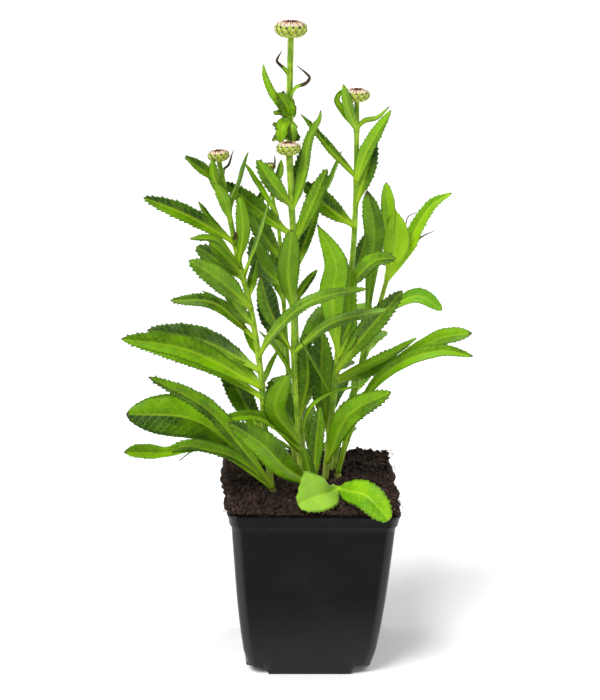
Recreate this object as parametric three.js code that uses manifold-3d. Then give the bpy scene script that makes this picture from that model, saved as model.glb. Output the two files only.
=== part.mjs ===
// A dwarf shasta daisy in bud, growing in a square plastic nursery pot full of peat.
// Millimetres, +Z up. The origin is the middle of the pot's underside.
import * as THREE from "three";
import { mergeVertices } from "three/addons/utils/BufferGeometryUtils.js";
import Module from "manifold-3d";

const wasm = await Module();
wasm.setup();

// Driving dimensions of the pot
const POT_HEIGHT = 115;
const RIM_HALF = 55; // half the outer width over the rim
const RIM_BAND = 9; // height of the flared band
const RIM_STEP = 1.3; // how far the band stands out from the wall
const WALL = 1.2;
// The wall's outer face: height and half the width there
const WALL_PROFILE = [[0, 40.4], [14, 42.6], [35, 45.6], [60, 48.3], [POT_HEIGHT - RIM_BAND, 52.1]];
const CORNER_RADIUS = 7;
const CORNER_STEPS = 3;
const FOOT_HALF = 27; // the flat underside reaches this far, and the corners beyond it are raised
const NOTCH_HEIGHT = 6;
const NOTCH_SLANT = 4.5;
const DRAIN_RADIUS = 2.2;
const DRAIN_AT = 33.6;

// Driving dimensions of the peat
const GAP = 0.3; // clearance between pieces that touch
const SOIL_LEVEL = 117.5;
const SOIL_MOUND = 5.5; // how much higher the middle and the back are
const SPILL = 1.6; // how ragged its edge is where it lies on the rim
const SPILL_ASIDE = 1.5; // how much further it reaches at the back on the left, in ragged edges
const SPILL_TOWARDS = 2.6; // the direction of that, in radians from +X
const STEM_HOLE_CLEARANCE = 0.45;
const STEM_IN_PEAT = 0.25; // the share of a stem's route that its hole follows

// Driving dimensions of the plant
const BLADE_THICKNESS = 0.7;
const STEM_SIDES = 6;
const STEM_STEPS = 10;
const TOOTH_PITCH = 11;
const MOST_TEETH = 4;
const FOLD = 0.16; // how far the halves of a blade rise from its midrib, per unit of width
const WIDE_LEAF = 13.5; // narrower leaves are flat
const STOCK_RADIUS = 3.4; // the stock under a tuft of leaves
const STOCK_LENGTH = 13;
const STOCK_RISE = 4; // how far the stock stands out of the peat

// Driving shape of the flower heads: angles run from the head's foot, 0, to the middle of its top, pi
const HEAD_FOOT = 0.42; // where a head meets its stem
const BRACTS_TO = 2.05; // where the bracts end round the rays
const BRACTS_SHUT = 2.8; // and where they end in a head that shows no rays
const BRACT_LOBE = 0.12; // how far they stand out, per unit of radius
const RAYS_FROM = 2.16;
const RAYS_TO = 2.7;
const RAY_LOBE = 0.2;
const RAY_INSET = 0.9; // the ring of rays is this much smaller than the bracts

// Leaf outlines: where the blade is widest, how full it is, the width of its foot and where its teeth begin
const KINDS = {
  blade: { widest: 0.58, full: 0.72, foot: 0.36, teethFrom: 0.2, teethTo: 0.9 },
  paddle: { widest: 0.72, full: 0.75, foot: 0.16, teethFrom: 0.45, teethTo: 0.92 },
  stalked: { widest: 0.87, full: 0.8, foot: 0.26, teethFrom: 0.76, teethTo: 0.96 },
  lance: { widest: 0.55, full: 0.9, foot: 0.36, teethFrom: 0.2, teethTo: 0.85 },
  strap: { widest: 0.45, full: 0.6, foot: 0.5, teethFrom: 0.3, teethTo: 0.8 },
  thread: { widest: 0.25, full: 0.9, foot: 0.6, teethFrom: 1, teethTo: 1 },
};

// The shoots are laid out on an upright drawing plane through the pot's middle, as seen from in front:
// across, up, and depth behind the plane. A point moved in depth stays on its line of sight.
const VIEWER = new THREE.Vector3(-83.6, -1427.8, 660.8);
const DRAWING_LEVEL = 115; // the drawing is turned about this height on its upright axis
const DRAWING_PLACE = new THREE.Vector3(-0.7, 0, 114.5); // where that point lies
const DRAWING_LEAN = 0.0226; // and how far it is turned, in radians

function seen([across, up, depth]) {
  const rise = up - DRAWING_LEVEL;
  const x = across * Math.cos(DRAWING_LEAN) - rise * Math.sin(DRAWING_LEAN);
  const z = rise * Math.cos(DRAWING_LEAN) + across * Math.sin(DRAWING_LEAN);
  const onPlane = new THREE.Vector3(x, 0, z).add(DRAWING_PLACE);
  return onPlane.addScaledVector(onPlane.clone().sub(VIEWER), depth / -VIEWER.y);
}

// The height that a point has on the drawing
function drawnHeight(point) {
  const share = point.y / -VIEWER.y;
  const onPlane = point.clone().addScaledVector(VIEWER, share).divideScalar(1 + share).sub(DRAWING_PLACE);
  return DRAWING_LEVEL + onPlane.z * Math.cos(DRAWING_LEAN) - onPlane.x * Math.sin(DRAWING_LEAN);
}

// Each shoot: its route, its radius at the foot and the top, and its leaves.
// A leaf: [height where it leaves the stem, outline, width, turn, ...points of its midrib].
// Turn 0 is a level blade, 1 shows its upper face to the front, and -1 its underside.
const SHOOTS = {
  stem_tall: {
    route: [[-2, 106, 10], [-8, 200, 12], [-10.5, 290, 10], [-12.5, 350, 8], [-11.5, 409, 6]],
    radii: [2, 2],
    leaves: [
      [385, "thread", 4, 0.6, [-16, 389, 4], [-20.5, 394, 3], [-17, 400, 2]],
      [371, "thread", 4.6, 0.5, [-8, 377, 3], [-2, 380, 1], [0, 384.5, 1], [-8, 391, 2]],
      [357, "strap", 5, 0.8, [-19, 368, 0], [-23.5, 375, -2], [-27.2, 384, -3], [-28.4, 392, -3]],
      [358, "blade", 11, 0.9, [-14.5, 366, 1], [-20, 374, -1]],
      [374, "blade", 5, 0.6, [-9, 367, 9], [-7.5, 358.5, 9]],
      [358, "paddle", 9, 0.9, [-17, 353, -1], [-17.5, 342.5, -2]],
      [286, "strap", 5, -0.6, [3, 302, 16], [13, 318, 18], [20, 337, 18]],
      [312, "blade", 7, 0.7, [-6, 324, 12], [-4, 339, 12]],
      [262, "blade", 9, 0.3, [-4, 280, 30], [2, 296, 40]],
      [236, "blade", 11, 0.2, [6, 240, 38], [24, 243, 68]],
      [206, "blade", 13, 0.6, [3, 220, 40], [9, 237, 62]],
      [176, "blade", 13, 0.1, [13, 192, 40], [28, 200, 76]],
      [140, "blade", 13, 0.9, [-15, 163, 18], [-19, 188, 20]],
      [240, "strap", 5.5, 0.7, [-3, 250, 14], [5, 261, 16]],
      [357, "paddle", 8.5, 0.9, [-8, 351, 1], [-6.5, 342, 0]],
    ],
  },
  stem_front: {
    route: [[-4, 101, -8], [-7.5, 158, -11], [-10, 205, -14], [-10, 270, -15], [-13, 335.5, -12]],
    radii: [1.75, 1.75],
    leaves: [
      [302, "blade", 10, 0.85, [-23, 316.5, -22], [-33, 332, -23]],
      [300, "strap", 6.5, -0.8, [-4, 324, -10], [0, 345, -9], [6, 357, -9], [7, 363, -9]],
      [298, "strap", 4.5, -0.7, [-5, 315, -18], [-1, 329, -20]],
      [283, "blade", 11, 0.7, [-24, 293, -8], [-38, 305, -4], [-53, 318, -2]],
      [277, "blade", 9.5, 0.85, [2, 304, -18], [11, 326, -19]],
      [260, "strap", 7, 0.8, [-2, 281, -9], [6, 304, -8]],
      [234, "blade", 13.5, -0.85, [-13.4, 258, -30], [-11, 287, -42]],
      [206, "blade", 8.5, 0.6, [14, 225, -24], [50, 234, -30]],
      [205, "paddle", 12.5, 0.85, [-24, 232, -28], [-31, 257, -38]],
      [187, "strap", 5.5, 0.2, [-20, 206, -12], [-32, 221, -7]],
      [160, "blade", 12, 0.8, [-1, 188, -2], [-3, 219, 0]],
      [150, "blade", 12, 0.85, [-21, 168, 0], [-25, 188, 4]],
      [145, "blade", 13.5, -0.8, [-22, 168, -26], [-14, 192, -40]],
      [139, "blade", 8.5, 0.45, [-32, 162, -23], [-60, 161, -26]],
      [142, "strap", 4.5, 0.3, [0, 166, -9], [12, 177, -8], [24, 181, -8], [36, 184, -9]],
    ],
  },
  stem_left: {
    route: [
      [-23, 98, -16], [-29, 160, -16], [-31, 192, -15], [-37, 235, -13], [-45.5, 272, -12],
      [-56.2, 332, -12],
    ],
    radii: [2.1, 1.6],
    leaves: [
      [316, "blade", 8, 0.6, [-69, 327.5, -20], [-77.5, 334.5, -24]],
      [318, "thread", 1.8, 0.5, [-53, 326, -9], [-50, 329.5, -8], [-47, 339, -5]],
      [308, "strap", 7, -0.9, [-59, 320, -20], [-60.5, 333, -21]],
      [279, "blade", 10.5, 0.75, [-75, 296.5, -22], [-103.5, 309, -20]],
      [277, "strap", 6, 0.3, [-60, 290.5, -2], [-69.5, 306, 2]],
      [262, "strap", 7, 0.4, [-58, 280, -24], [-75, 282, -34]],
      [256, "blade", 12, 0.8, [-58, 268, -4], [-71, 277, 4]],
      [258, "blade", 8.5, 0.9, [-53, 270, -16], [-63, 280, -18]],
      [266, "blade", 8.5, -0.9, [-41.5, 287, -22], [-43.5, 309, -26]],
      [300, "strap", 6.5, 0.4, [-43, 318, -16], [-38, 337, -20]],
      [236, "blade", 14, 0.85, [-57, 255, -26], [-76, 268, -34]],
      [230, "strap", 5, 0.2, [-54, 239, 2], [-68, 248, 6]],
      [224, "blade", 8.5, 0.9, [-46, 236, -16], [-52, 247, -14]],
      [256, "strap", 5.5, 0.5, [-31, 284, -19], [-24, 310, -30]],
      [215, "blade", 8.5, 0.75, [-60, 239.5, -8], [-88, 242, -4]],
      [203, "blade", 8.5, 0.6, [-24, 217.5, -32], [-8, 234, -40], [10, 243, -38], [37, 248, -32]],
      [194, "blade", 16, 0.6, [-66, 214.5, 5], [-103, 222.5, 9]],
      [183, "blade", 15.5, 0.75, [-76, 208.5, -22], [-119.5, 217, -28]],
      [176, "blade", 11.5, 0.9, [-62, 198, -6], [-93, 210.5, -6], [-116, 215.5, -8]],
      [146, "blade", 15, 0.9, [-41.5, 172, -3], [-56, 206, 0]],
      [270, "thread", 2.4, 0, [-47, 278, -6], [-48.5, 286.2, -4]],
      [244, "strap", 6, 0.8, [-35.5, 256, -6], [-33, 268, -8]],
      [184, "strap", 3.5, 0.5, [-25, 198, 8], [-19, 210, 14]],
      [293, "blade", 8, 0.8, [-53, 306, -17], [-59, 318, -19]],
    ],
  },
  stem_right: {
    route: [
      [9, 106, 0], [13, 150, 0], [16.5, 185, 0], [19, 212, 0], [26.5, 262, 0], [29, 310, 0],
      [29.2, 368.8, -2],
    ],
    radii: [2.1, 1.65],
    leaves: [
      [350, "strap", 7, 0.7, [24.2, 363, -9], [20.8, 379, -13]],
      [352, "thread", 4.6, 0.7, [21, 362, -9], [16.5, 369, -11], [20, 375, -10], [24, 372.5, -10]],
      [351, "thread", 4.2, 0.6, [34, 356, -2], [42, 358, -3], [49.5, 365, -3]],
      [303, "blade", 10.5, 0.85, [35, 322, -2], [40.5, 345, -4]],
      [320, "strap", 6, 0.6, [13, 337.5, 1], [-5.5, 360.5, 3]],
      [289, "blade", 13, 0.85, [12, 301, 4], [-4, 317, 6]],
      [253, "blade", 8.5, 0.8, [32, 268, 9], [36, 284, 12]],
      [249, "blade", 11, 0.7, [33, 259, -12], [42, 266.5, -18], [54.5, 267.5, -24]],
      [206, "lance", 16.5, 0.9, [15.5, 228, -9], [14.5, 246, -12], [16.5, 265, -14], [4.8, 290.5, -14]],
      [210, "blade", 10, 0.7, [25, 232, -6], [26, 262, -7]],
      [193, "blade", 13, 0.8, [34.5, 217, -8], [59, 246.5, -10]],
      [186, "blade", 10.5, 0.9, [30, 191.5, 9], [42, 197, 13.5], [58, 208.5, 15]],
      [176, "blade", 7.5, 0.4, [4, 196, -17], [-5, 213, -29]],
      [150, "blade", 16, 0.9, [8, 184, 8], [8, 220, 13]],
      [188, "strap", 6.5, 0.5, [50, 203.5, 13], [68.5, 215, 15]],
      [132, "blade", 15, 0.8, [25, 163, -10], [52.5, 179, -16]],
      [203, "blade", 12, 0.85, [24, 215, -4], [27, 231, -5]],
      [318, "strap", 8.5, 0.8, [35.5, 336.5, -6], [50.5, 362.5, -9]],
    ],
  },
  shoot_right: {
    route: [[12, 110, 10], [20, 150, 16], [31.5, 190, 24], [40, 220, 28], [51, 262, 30]],
    radii: [2, 1.5],
    leaves: [
      [260, "paddle", 9, 0.95, [50, 288, 27], [47.8, 317, 26]],
      [256, "lance", 17.5, 0.9, [54.5, 276, 27], [54, 299, 25]],
      [254, "strap", 9, 0.85, [62.5, 276, 29], [67.5, 288, 30], [77, 302.5, 31], [89, 309.5, 32]],
      [222, "paddle", 10, 0.7, [56, 237.5, 22], [70, 242.5, 18], [84.5, 233, 14]],
      [259, "thread", 2.2, 0.2, [66, 286, 40], [69, 297, 42], [61, 291, 44]],
      [258, "thread", 2.4, 0.2, [68, 279, 42], [80, 286, 46]],
      [215, "blade", 11, 0.2, [36, 230, 56], [30, 238, 92]],
      [204, "blade", 11.5, 0.1, [40, 214, 52], [48, 220, 84]],
      [176, "blade", 12, 0.1, [33, 188, 54], [35, 194, 88]],
    ],
  },
  stem_rear: {
    route: [[-8, 112, 20], [-14, 200, 26], [-19, 285, 24], [-22.5, 305, 22], [-24.5, 326, 20]],
    radii: [1.9, 1.1],
    leaves: [
      [314, "strap", 5, 0.6, [-18.5, 323, 22], [-17.5, 332, 22]],
      [320, "thread", 1.8, 0.4, [-21.5, 330, 15], [-22, 335, 14]],
      [296, "strap", 5, 0.4, [-30, 312, 28], [-41, 331, 30]],
      [288, "strap", 6.5, 0.7, [-31, 302, 33], [-28, 314, 36]],
      [268, "blade", 12, 0.8, [-30, 286, 22], [-38, 302, 20]],
      [250, "blade", 14, 0.8, [-30, 264, 17], [-36, 283, 14]],
      [240, "blade", 9, 0.7, [-22, 260, 34], [-21, 277, 38]],
      [212, "blade", 12, 0.8, [-25, 228, 18], [-31, 249, 14]],
      [196, "blade", 10, 0.1, [-24, 222, 52], [-29, 232, 90]],
      [158, "blade", 12.5, 0.1, [-16, 180, 54], [-22, 190, 92]],
    ],
  },
};

// Leaves that rise from a crown at soil level, each tuft a piece of its own.
// A leaf: [outline, width, turn, ...points of its midrib].
const TUFTS = {
  basal_left: {
    crown: [-26, -23],
    leaves: [
      ["blade", 12, 0.6, [-41, 138, -32], [-66, 169, -38], [-103, 191.5, -44]],
      ["paddle", 27, 0.9, [-48, 142, -14], [-76, 163, -18], [-117.5, 166.5, -20]],
      ["stalked", 10, 0.7, [-50, 134, -24], [-68, 141.5, -30], [-94, 139.5, -36], [-119.5, 140.5, -42]],
      ["strap", 4.5, 0.1, [-56, 139, -8], [-73, 141, -8], [-84.5, 134, -8]],
    ],
  },
  basal_front: {
    crown: [1, -21],
    leaves: [
      ["blade", 17, 0.9, [-16, 129, -34], [-31, 145, -42], [-52, 160, -50]],
      ["strap", 7, -0.8, [1, 121, -26], [-4, 143, -30]],
      ["blade", 10, 0.6, [4, 141, -18], [7, 170, -20]],
    ],
  },
  basal_right: {
    crown: [18, 4],
    leaves: [
      ["paddle", 9, 0.75, [26, 152, 6], [40, 182, 3], [60, 199, -5], [84, 206, -8], [105, 202, -12]],
      ["stalked", 10.5, 0.75, [27, 152, 12], [42, 188, 10], [60, 203, 6], [84, 214.5, 2], [104, 217.5, -2]],
      ["stalked", 13, 0.85, [26, 160, 11], [34.5, 210, 16], [38.5, 250, 18], [41, 285, 18], [36, 312, 16]],
    ],
  },
  basal_rear: {
    crown: [2, 25],
    leaves: [
      ["paddle", 20, 0, [-4, 158, 56], [-8, 168, 100]],
      ["paddle", 18, 0, [13, 172, 42], [20, 190, 76]],
      ["paddle", 18, 0, [-30, 150, 52], [-50, 156, 86]],
      ["paddle", 17, 0, [19, 150, 54], [25, 156, 88]],
    ],
  },
  young_leaves: {
    crown: [16.5, -21],
    leaves: [
      ["paddle", 24, 0.95, [11, 112, -43], [2, 111.5, -49], [-9.5, 108, -53]],
      ["paddle", 17.5, 0.9, [25, 111.5, -40], [38, 107, -52], [52.5, 90, -62]],
    ],
  },
};

// Flower heads: the stem each one closes, its width, its height and its number of bracts
const HEADS = {
  bud_tall: { stem: "stem_tall", width: 19.4, height: 11, bracts: 13, rays: true },
  bud_front: { stem: "stem_front", width: 14.6, height: 8.6, bracts: 12, rays: true },
  bud_left: { stem: "stem_left", width: 12.8, height: 7.4, bracts: 11, rays: true },
  bud_right: { stem: "stem_right", width: 15, height: 8.4, bracts: 12, rays: true },
  bud_rear: { stem: "stem_rear", width: 6.4, height: 4.6, bracts: 8, rays: false },
};

const COLOURS = {
  pot: { color: 0x1e1e20, roughness: 0.45 },
  soil: { color: 0x1d140f, roughness: 1 },
  stem: { color: 0x5c9a1c, roughness: 0.5 },
  young: { color: 0x86c42a, roughness: 0.5 },
  bracts: { color: 0x8fae3a, roughness: 0.55 },
  rays: { color: 0xe4d6c0, roughness: 0.6 },
};

// Solids

function toSolid(geometry) {
  const bare = geometry.clone();
  bare.deleteAttribute("normal");
  bare.deleteAttribute("uv");
  const merged = mergeVertices(bare, 1e-4);
  return new wasm.Manifold(
    new wasm.Mesh({
      numProp: 3,
      vertProperties: new Float32Array(merged.attributes.position.array),
      triVerts: new Uint32Array(merged.index.array),
    }),
  );
}

function toGeometry(solid) {
  const { vertProperties, triVerts, numProp } = solid.getMesh();
  const geometry = new THREE.BufferGeometry();
  geometry.setAttribute("position", new THREE.BufferAttribute(Float32Array.from(vertProperties), numProp));
  geometry.setIndex(new THREE.BufferAttribute(Uint32Array.from(triVerts), 1));
  geometry.computeVertexNormals();
  return geometry;
}

function fromTriangles(points, triangles) {
  const geometry = new THREE.BufferGeometry().setFromPoints(points);
  geometry.setIndex(triangles);
  return geometry;
}

// A closed skin over rings with the same number of points, each end closed by a fan round its middle
function skin(rings) {
  const count = rings[0].length;
  const points = rings.flat();
  const triangles = [];
  for (let ring = 0; ring + 1 < rings.length; ring++) {
    for (let i = 0; i < count; i++) {
      const a = ring * count + i;
      const b = ring * count + ((i + 1) % count);
      triangles.push(a, b, b + count, a, b + count, a + count);
    }
  }
  const middleOf = (ring) => ring.reduce((sum, p) => sum.add(p), new THREE.Vector3()).divideScalar(count);
  const first = points.push(middleOf(rings[0])) - 1;
  const last = points.push(middleOf(rings.at(-1))) - 1;
  const lastRing = (rings.length - 1) * count;
  for (let i = 0; i < count; i++) {
    const next = (i + 1) % count;
    triangles.push(first, next, i, last, lastRing + i, lastRing + next);
  }
  return fromTriangles(points, triangles);
}

// Pot

function roundedSquare(half, z) {
  const ring = [];
  const inner = half - CORNER_RADIUS;
  for (const [sx, sy, quarter] of [[1, 1, 0], [-1, 1, 1], [-1, -1, 2], [1, -1, 3]]) {
    for (let step = 0; step <= CORNER_STEPS; step++) {
      const angle = ((quarter + step / CORNER_STEPS) * Math.PI) / 2;
      const x = sx * inner + CORNER_RADIUS * Math.cos(angle);
      const y = sy * inner + CORNER_RADIUS * Math.sin(angle);
      ring.push(new THREE.Vector3(x, y, z));
    }
  }
  return ring;
}

function wallRings(inset, floor, top) {
  const rings = WALL_PROFILE.map(([z, half]) => roundedSquare(half - inset, Math.max(z, floor)));
  const [bandZ, bandHalf] = WALL_PROFILE.at(-1);
  rings.push(roundedSquare(bandHalf + RIM_STEP - inset, bandZ + RIM_STEP * 0.4));
  rings.push(roundedSquare(RIM_HALF - inset - 0.6, POT_HEIGHT - 2.2));
  rings.push(roundedSquare(RIM_HALF - inset, POT_HEIGHT - 1.4));
  rings.push(roundedSquare(RIM_HALF - inset, top));
  return rings;
}

// The four blocks that raise the corners of the floor, grown by a margin on their inner sides and top
function cornerNotches(margin) {
  const far = RIM_HALF;
  let all = null;
  for (const [sx, sy] of [[1, 1], [-1, 1], [-1, -1], [1, -1]]) {
    const square = (inner, z) => {
      const ring = [[inner, inner], [far, inner], [far, far], [inner, far]];
      const turned = sx * sy > 0 ? ring : ring.reverse();
      return turned.map(([x, y]) => new THREE.Vector3(sx * x, sy * y, z));
    };
    const low = square(FOOT_HALF - margin, -1);
    const high = square(FOOT_HALF + NOTCH_SLANT - margin, NOTCH_HEIGHT + margin);
    const block = toSolid(skin([low, high]));
    all = all ? all.add(block) : block;
  }
  return all;
}

function makePot() {
  const outer = toSolid(skin(wallRings(0, 0, POT_HEIGHT)));
  const inner = toSolid(skin(wallRings(WALL, WALL, POT_HEIGHT + 1)));
  const hollow = inner.subtract(cornerNotches(WALL));
  let pot = outer.subtract(cornerNotches(0)).subtract(hollow);
  for (const [sx, sy] of [[1, 1], [-1, 1], [-1, -1], [1, -1]]) {
    const drain = new THREE.CylinderGeometry(DRAIN_RADIUS, DRAIN_RADIUS, 4 * WALL, 10);
    drain.rotateX(Math.PI / 2);
    drain.translate(sx * DRAIN_AT, sy * DRAIN_AT, NOTCH_HEIGHT + WALL / 2);
    pot = pot.subtract(toSolid(drain));
  }
  return pot;
}

// Peat

// A clod-like roughness from a few crossed waves
function lumps(x, y) {
  const coarse = Math.sin(x * 0.19 + 1.3) * Math.cos(y * 0.23 - 0.4);
  const fine = Math.sin(x * 0.47 - y * 0.31 + 0.8) * Math.cos(y * 0.53 + x * 0.17);
  return coarse * 1.1 + fine * 0.8;
}

// Height of the peat: level with the rim in front, higher in the middle and at the back
function soilHeight(x, y) {
  const backward = THREE.MathUtils.clamp((y + RIM_HALF) / (2 * RIM_HALF), 0, 1);
  const inward = 1 - Math.max(Math.abs(x), Math.abs(y)) / RIM_HALF;
  return SOIL_LEVEL - 2 + SOIL_MOUND * (0.45 * Math.min(1, inward * 2) + 0.75 * backward) + lumps(x, y);
}

function makeSoil(holes) {
  const around = 24;
  const ring = (half, heightAt, ragged = 0) =>
    Array.from({ length: around }, (_, i) => {
      const angle = (2 * Math.PI * (i + 0.5)) / around;
      const reach = half / Math.pow(Math.abs(Math.cos(angle)) ** 9 + Math.abs(Math.sin(angle)) ** 9, 1 / 9);
      const further = SPILL_ASIDE * Math.max(0, Math.cos(angle - SPILL_TOWARDS));
      const lump = 1 + (ragged * (lumps(40 * Math.cos(angle), 40 * Math.sin(angle)) + further)) / half;
      const x = reach * lump * Math.cos(angle);
      const y = reach * lump * Math.sin(angle);
      return new THREE.Vector3(x, y, heightAt(x, y));
    });
  const level = (z) => () => z;
  const inside = WALL + GAP;
  const overRim = POT_HEIGHT + GAP;
  const body = [
    ring(WALL_PROFILE[0][1] - inside - 0.6, level(inside)),
    ring(WALL_PROFILE[1][1] - inside - 0.5, level(WALL_PROFILE[1][0])),
    ring(WALL_PROFILE[2][1] - inside - 0.5, level(WALL_PROFILE[2][0])),
    ring(WALL_PROFILE[3][1] - inside - 0.5, level(WALL_PROFILE[3][0])),
    ring(WALL_PROFILE[4][1] - inside - 0.5, level(WALL_PROFILE[4][0])),
  ];
  const overhang = [POT_HEIGHT - 1, overRim].map((z) => ring(RIM_HALF - inside, level(z)));
  const spill = ring(RIM_HALF + 0.5, level(overRim), SPILL);
  const crest = ring(RIM_HALF - 0.5, (x, y) => Math.max(soilHeight(x, y) - 2, overRim + 0.6), SPILL);
  const top = [48, 37, 24, 11].map((half) => ring(half, (x, y) => Math.max(soilHeight(x, y), overRim + 0.8)));
  const soil = toSolid(skin([...body, ...overhang, spill, crest, ...top]));
  return soil.subtract(cornerNotches(WALL + GAP)).subtract(holes);
}

// Stems and leaves

function routeOf(points) {
  return new THREE.CatmullRomCurve3(points.map(seen), false, "catmullrom", 0.5);
}

function tubeRings(curve, radiusAt, steps) {
  const rings = [];
  for (let step = 0; step <= steps; step++) {
    const along = step / steps;
    const centre = curve.getPointAt(along);
    const forward = curve.getTangentAt(along);
    const side = new THREE.Vector3(0, 1, 0).cross(forward).normalize();
    const other = forward.clone().cross(side);
    const radius = radiusAt(along);
    rings.push(
      Array.from({ length: STEM_SIDES }, (_, i) => {
        const angle = (2 * Math.PI * i) / STEM_SIDES;
        return centre
          .clone()
          .addScaledVector(side, radius * Math.cos(angle))
          .addScaledVector(other, radius * Math.sin(angle));
      }),
    );
  }
  return rings;
}

function stemSolid({ route, radii }, grow = 0, end = 1) {
  const curve = routeOf(route);
  const steps = Math.round(STEM_STEPS * end);
  const radiusAt = (along) => radii[0] + (radii[1] - radii[0]) * along + grow;
  const rings = tubeRings(curve, radiusAt, steps / end).slice(0, steps + 1);
  return toSolid(skin(rings));
}

// The point of a stem at a height on the drawing plane
function pointOn(route, height) {
  const curve = routeOf(route);
  let low = 0;
  let high = 1;
  for (let halving = 0; halving < 20; halving++) {
    const middle = (low + high) / 2;
    if (drawnHeight(curve.getPoint(middle)) < height) low = middle;
    else high = middle;
  }
  return curve.getPoint((low + high) / 2);
}

function halfWidth(kind, width, along) {
  const power = Math.log(0.5) / Math.log(kind.widest);
  const swell = Math.sin(Math.PI * Math.min(1, along) ** power);
  const blade = (width / 2) * Math.max(0, swell) ** kind.full;
  const foot = (width / 2) * kind.foot * (1 - along * 0.7);
  return Math.max(blade, Math.min(foot, 2.2), 0.4);
}

// Where a leaf's cross-sections lie and how wide they are: plain along its stalk, two to a tooth beyond it
function leafStations(kind, width, length) {
  const { teethFrom, teethTo } = kind;
  const toothed = (teethTo - teethFrom) * length;
  const teeth = THREE.MathUtils.clamp(Math.round(toothed / TOOTH_PITCH), toothed > 6 ? 2 : 0, MOST_TEETH);
  const stations = [];
  const plain = Math.max(1, Math.round((teethFrom * length) / 22) + (teeth ? 0 : 4));
  for (let i = 0; i < plain; i++) stations.push([(teethFrom * i) / plain, 0]);
  const bite = Math.min(1.5, 0.1 * width);
  for (let tooth = 0; tooth < teeth; tooth++) {
    const at = (part) => teethFrom + ((teethTo - teethFrom) * (tooth + part)) / teeth;
    stations.push([at(0), tooth ? -bite / 2 : 0], [at(0.68), bite / 2]);
  }
  if (teeth) stations.push([teethTo, -bite / 3]);
  if (width >= 8) stations.push([(teethTo + 3) / 4, 0]);
  stations.push([1, 0]);
  return stations.map(([along, tooth]) => ({ along, half: halfWidth(kind, width, along) + tooth }));
}

// A thin blade along its midrib: left edge, rib and right edge at each station, split alike on both faces
function leafSolid(base, [outline, width, turn, ...points]) {
  const curve = new THREE.CatmullRomCurve3([base, ...points.map(seen)], false, "catmullrom", 0.5);
  const kind = KINDS[outline];
  const level = points.map(seen).at(-1).sub(base).setZ(0);
  if (level.length() < 3) level.set(0, -1, 0);
  const across = level.normalize().cross(new THREE.Vector3(0, 0, 1));
  const ribbed = width >= WIDE_LEAF;
  const corners = [];
  const stations = leafStations(kind, width, curve.getLength());
  for (const { along, half } of stations) {
    const rib = curve.getPointAt(along);
    const forward = curve.getTangentAt(along);
    const upper = across.clone().cross(forward).normalize();
    const toViewer = VIEWER.clone().sub(rib).normalize();
    toViewer.addScaledVector(forward, -toViewer.dot(forward)).normalize();
    const normal = upper.multiplyScalar(1 - Math.abs(turn)).addScaledVector(toViewer, turn).normalize();
    const side = forward.clone().cross(normal).normalize();
    const lift = ribbed ? half * FOLD : 0;
    const at = (out, up) => rib.clone().addScaledVector(side, out).addScaledVector(normal, up);
    const t = BLADE_THICKNESS / 2;
    corners.push(at(-half, lift + t), at(0, t), at(half, lift + t));
    corners.push(at(-half, lift - t), at(0, -t), at(half, lift - t));
  }
  return toSolid(fromTriangles(corners, bladeTriangles(stations.length, ribbed)));
}

function bladeTriangles(count, ribbed) {
  const triangles = [];
  const quad = (a, b, c, d) => triangles.push(a, b, c, a, c, d);
  const flipped = (a, b, c, d) => triangles.push(a, c, b, a, d, c);
  const strips = ribbed ? [[0, 1], [1, 2]] : [[0, 2]];
  for (let i = 0; i + 1 < count; i++) {
    const here = i * 6;
    const next = here + 6;
    for (const [left, right] of strips) {
      quad(here + left, here + right, next + right, next + left);
      flipped(here + 3 + left, here + 3 + right, next + 3 + right, next + 3 + left);
    }
    quad(here + 3, here, next, next + 3);
    quad(here + 2, here + 5, next + 5, next + 2);
  }
  const last = (count - 1) * 6;
  for (const [left, right] of strips) {
    quad(right, left, 3 + left, 3 + right);
    quad(last + left, last + right, last + 3 + right, last + 3 + left);
  }
  return triangles;
}

function joined(solids) {
  return wasm.Manifold.union(solids);
}

function shootSolid(shoot) {
  const stem = stemSolid(shoot);
  const leaves = shoot.leaves.map(([height, ...leaf]) => leafSolid(pointOn(shoot.route, height), leaf));
  return joined([stem, ...leaves]);
}

// A tuft: its leaves meet at a short stock that stands in the peat
function tuftSolid({ crown, leaves }) {
  const foot = crownFoot(crown);
  return joined([stockSolid(crown, 0), ...leaves.map((leaf) => leafSolid(foot, leaf))]);
}

function crownFoot([x, y]) {
  return new THREE.Vector3(x, y, soilHeight(x, y) + STOCK_RISE - 1);
}

function stockSolid(crown, grow) {
  const radius = STOCK_RADIUS + grow;
  const stock = new THREE.CylinderGeometry(radius * 0.8, radius, STOCK_LENGTH + 2 * grow, 8);
  stock.rotateX(Math.PI / 2);
  const { x, y, z } = crownFoot(crown);
  stock.translate(x, y, z + 1 - STOCK_LENGTH / 2);
  return toSolid(stock);
}

// Flower heads

// A bun of overlapping bracts: a turned form whose radius rises and falls round the head
function headRings(head, from, to, rows, lobeDepth, inset = 0) {
  const { width, height, bracts } = head;
  const around = bracts * 2;
  const rings = [];
  for (let row = 0; row <= rows; row++) {
    const polar = from + ((to - from) * row) / rows;
    const radius = (width / 2 - inset) * Math.sin(polar) ** 0.72;
    const z = height * 0.5 * (1 - Math.cos(polar) * (polar < Math.PI / 2 ? 1 : 0.82));
    rings.push(
      Array.from({ length: around }, (_, i) => {
        const angle = (2 * Math.PI * i) / around;
        const lobe = 1 + lobeDepth * (((i + row) % 2) - 0.5) * Math.sin(polar);
        return new THREE.Vector3(radius * lobe * Math.cos(angle), radius * lobe * Math.sin(angle), z);
      }),
    );
  }
  return rings;
}

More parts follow.
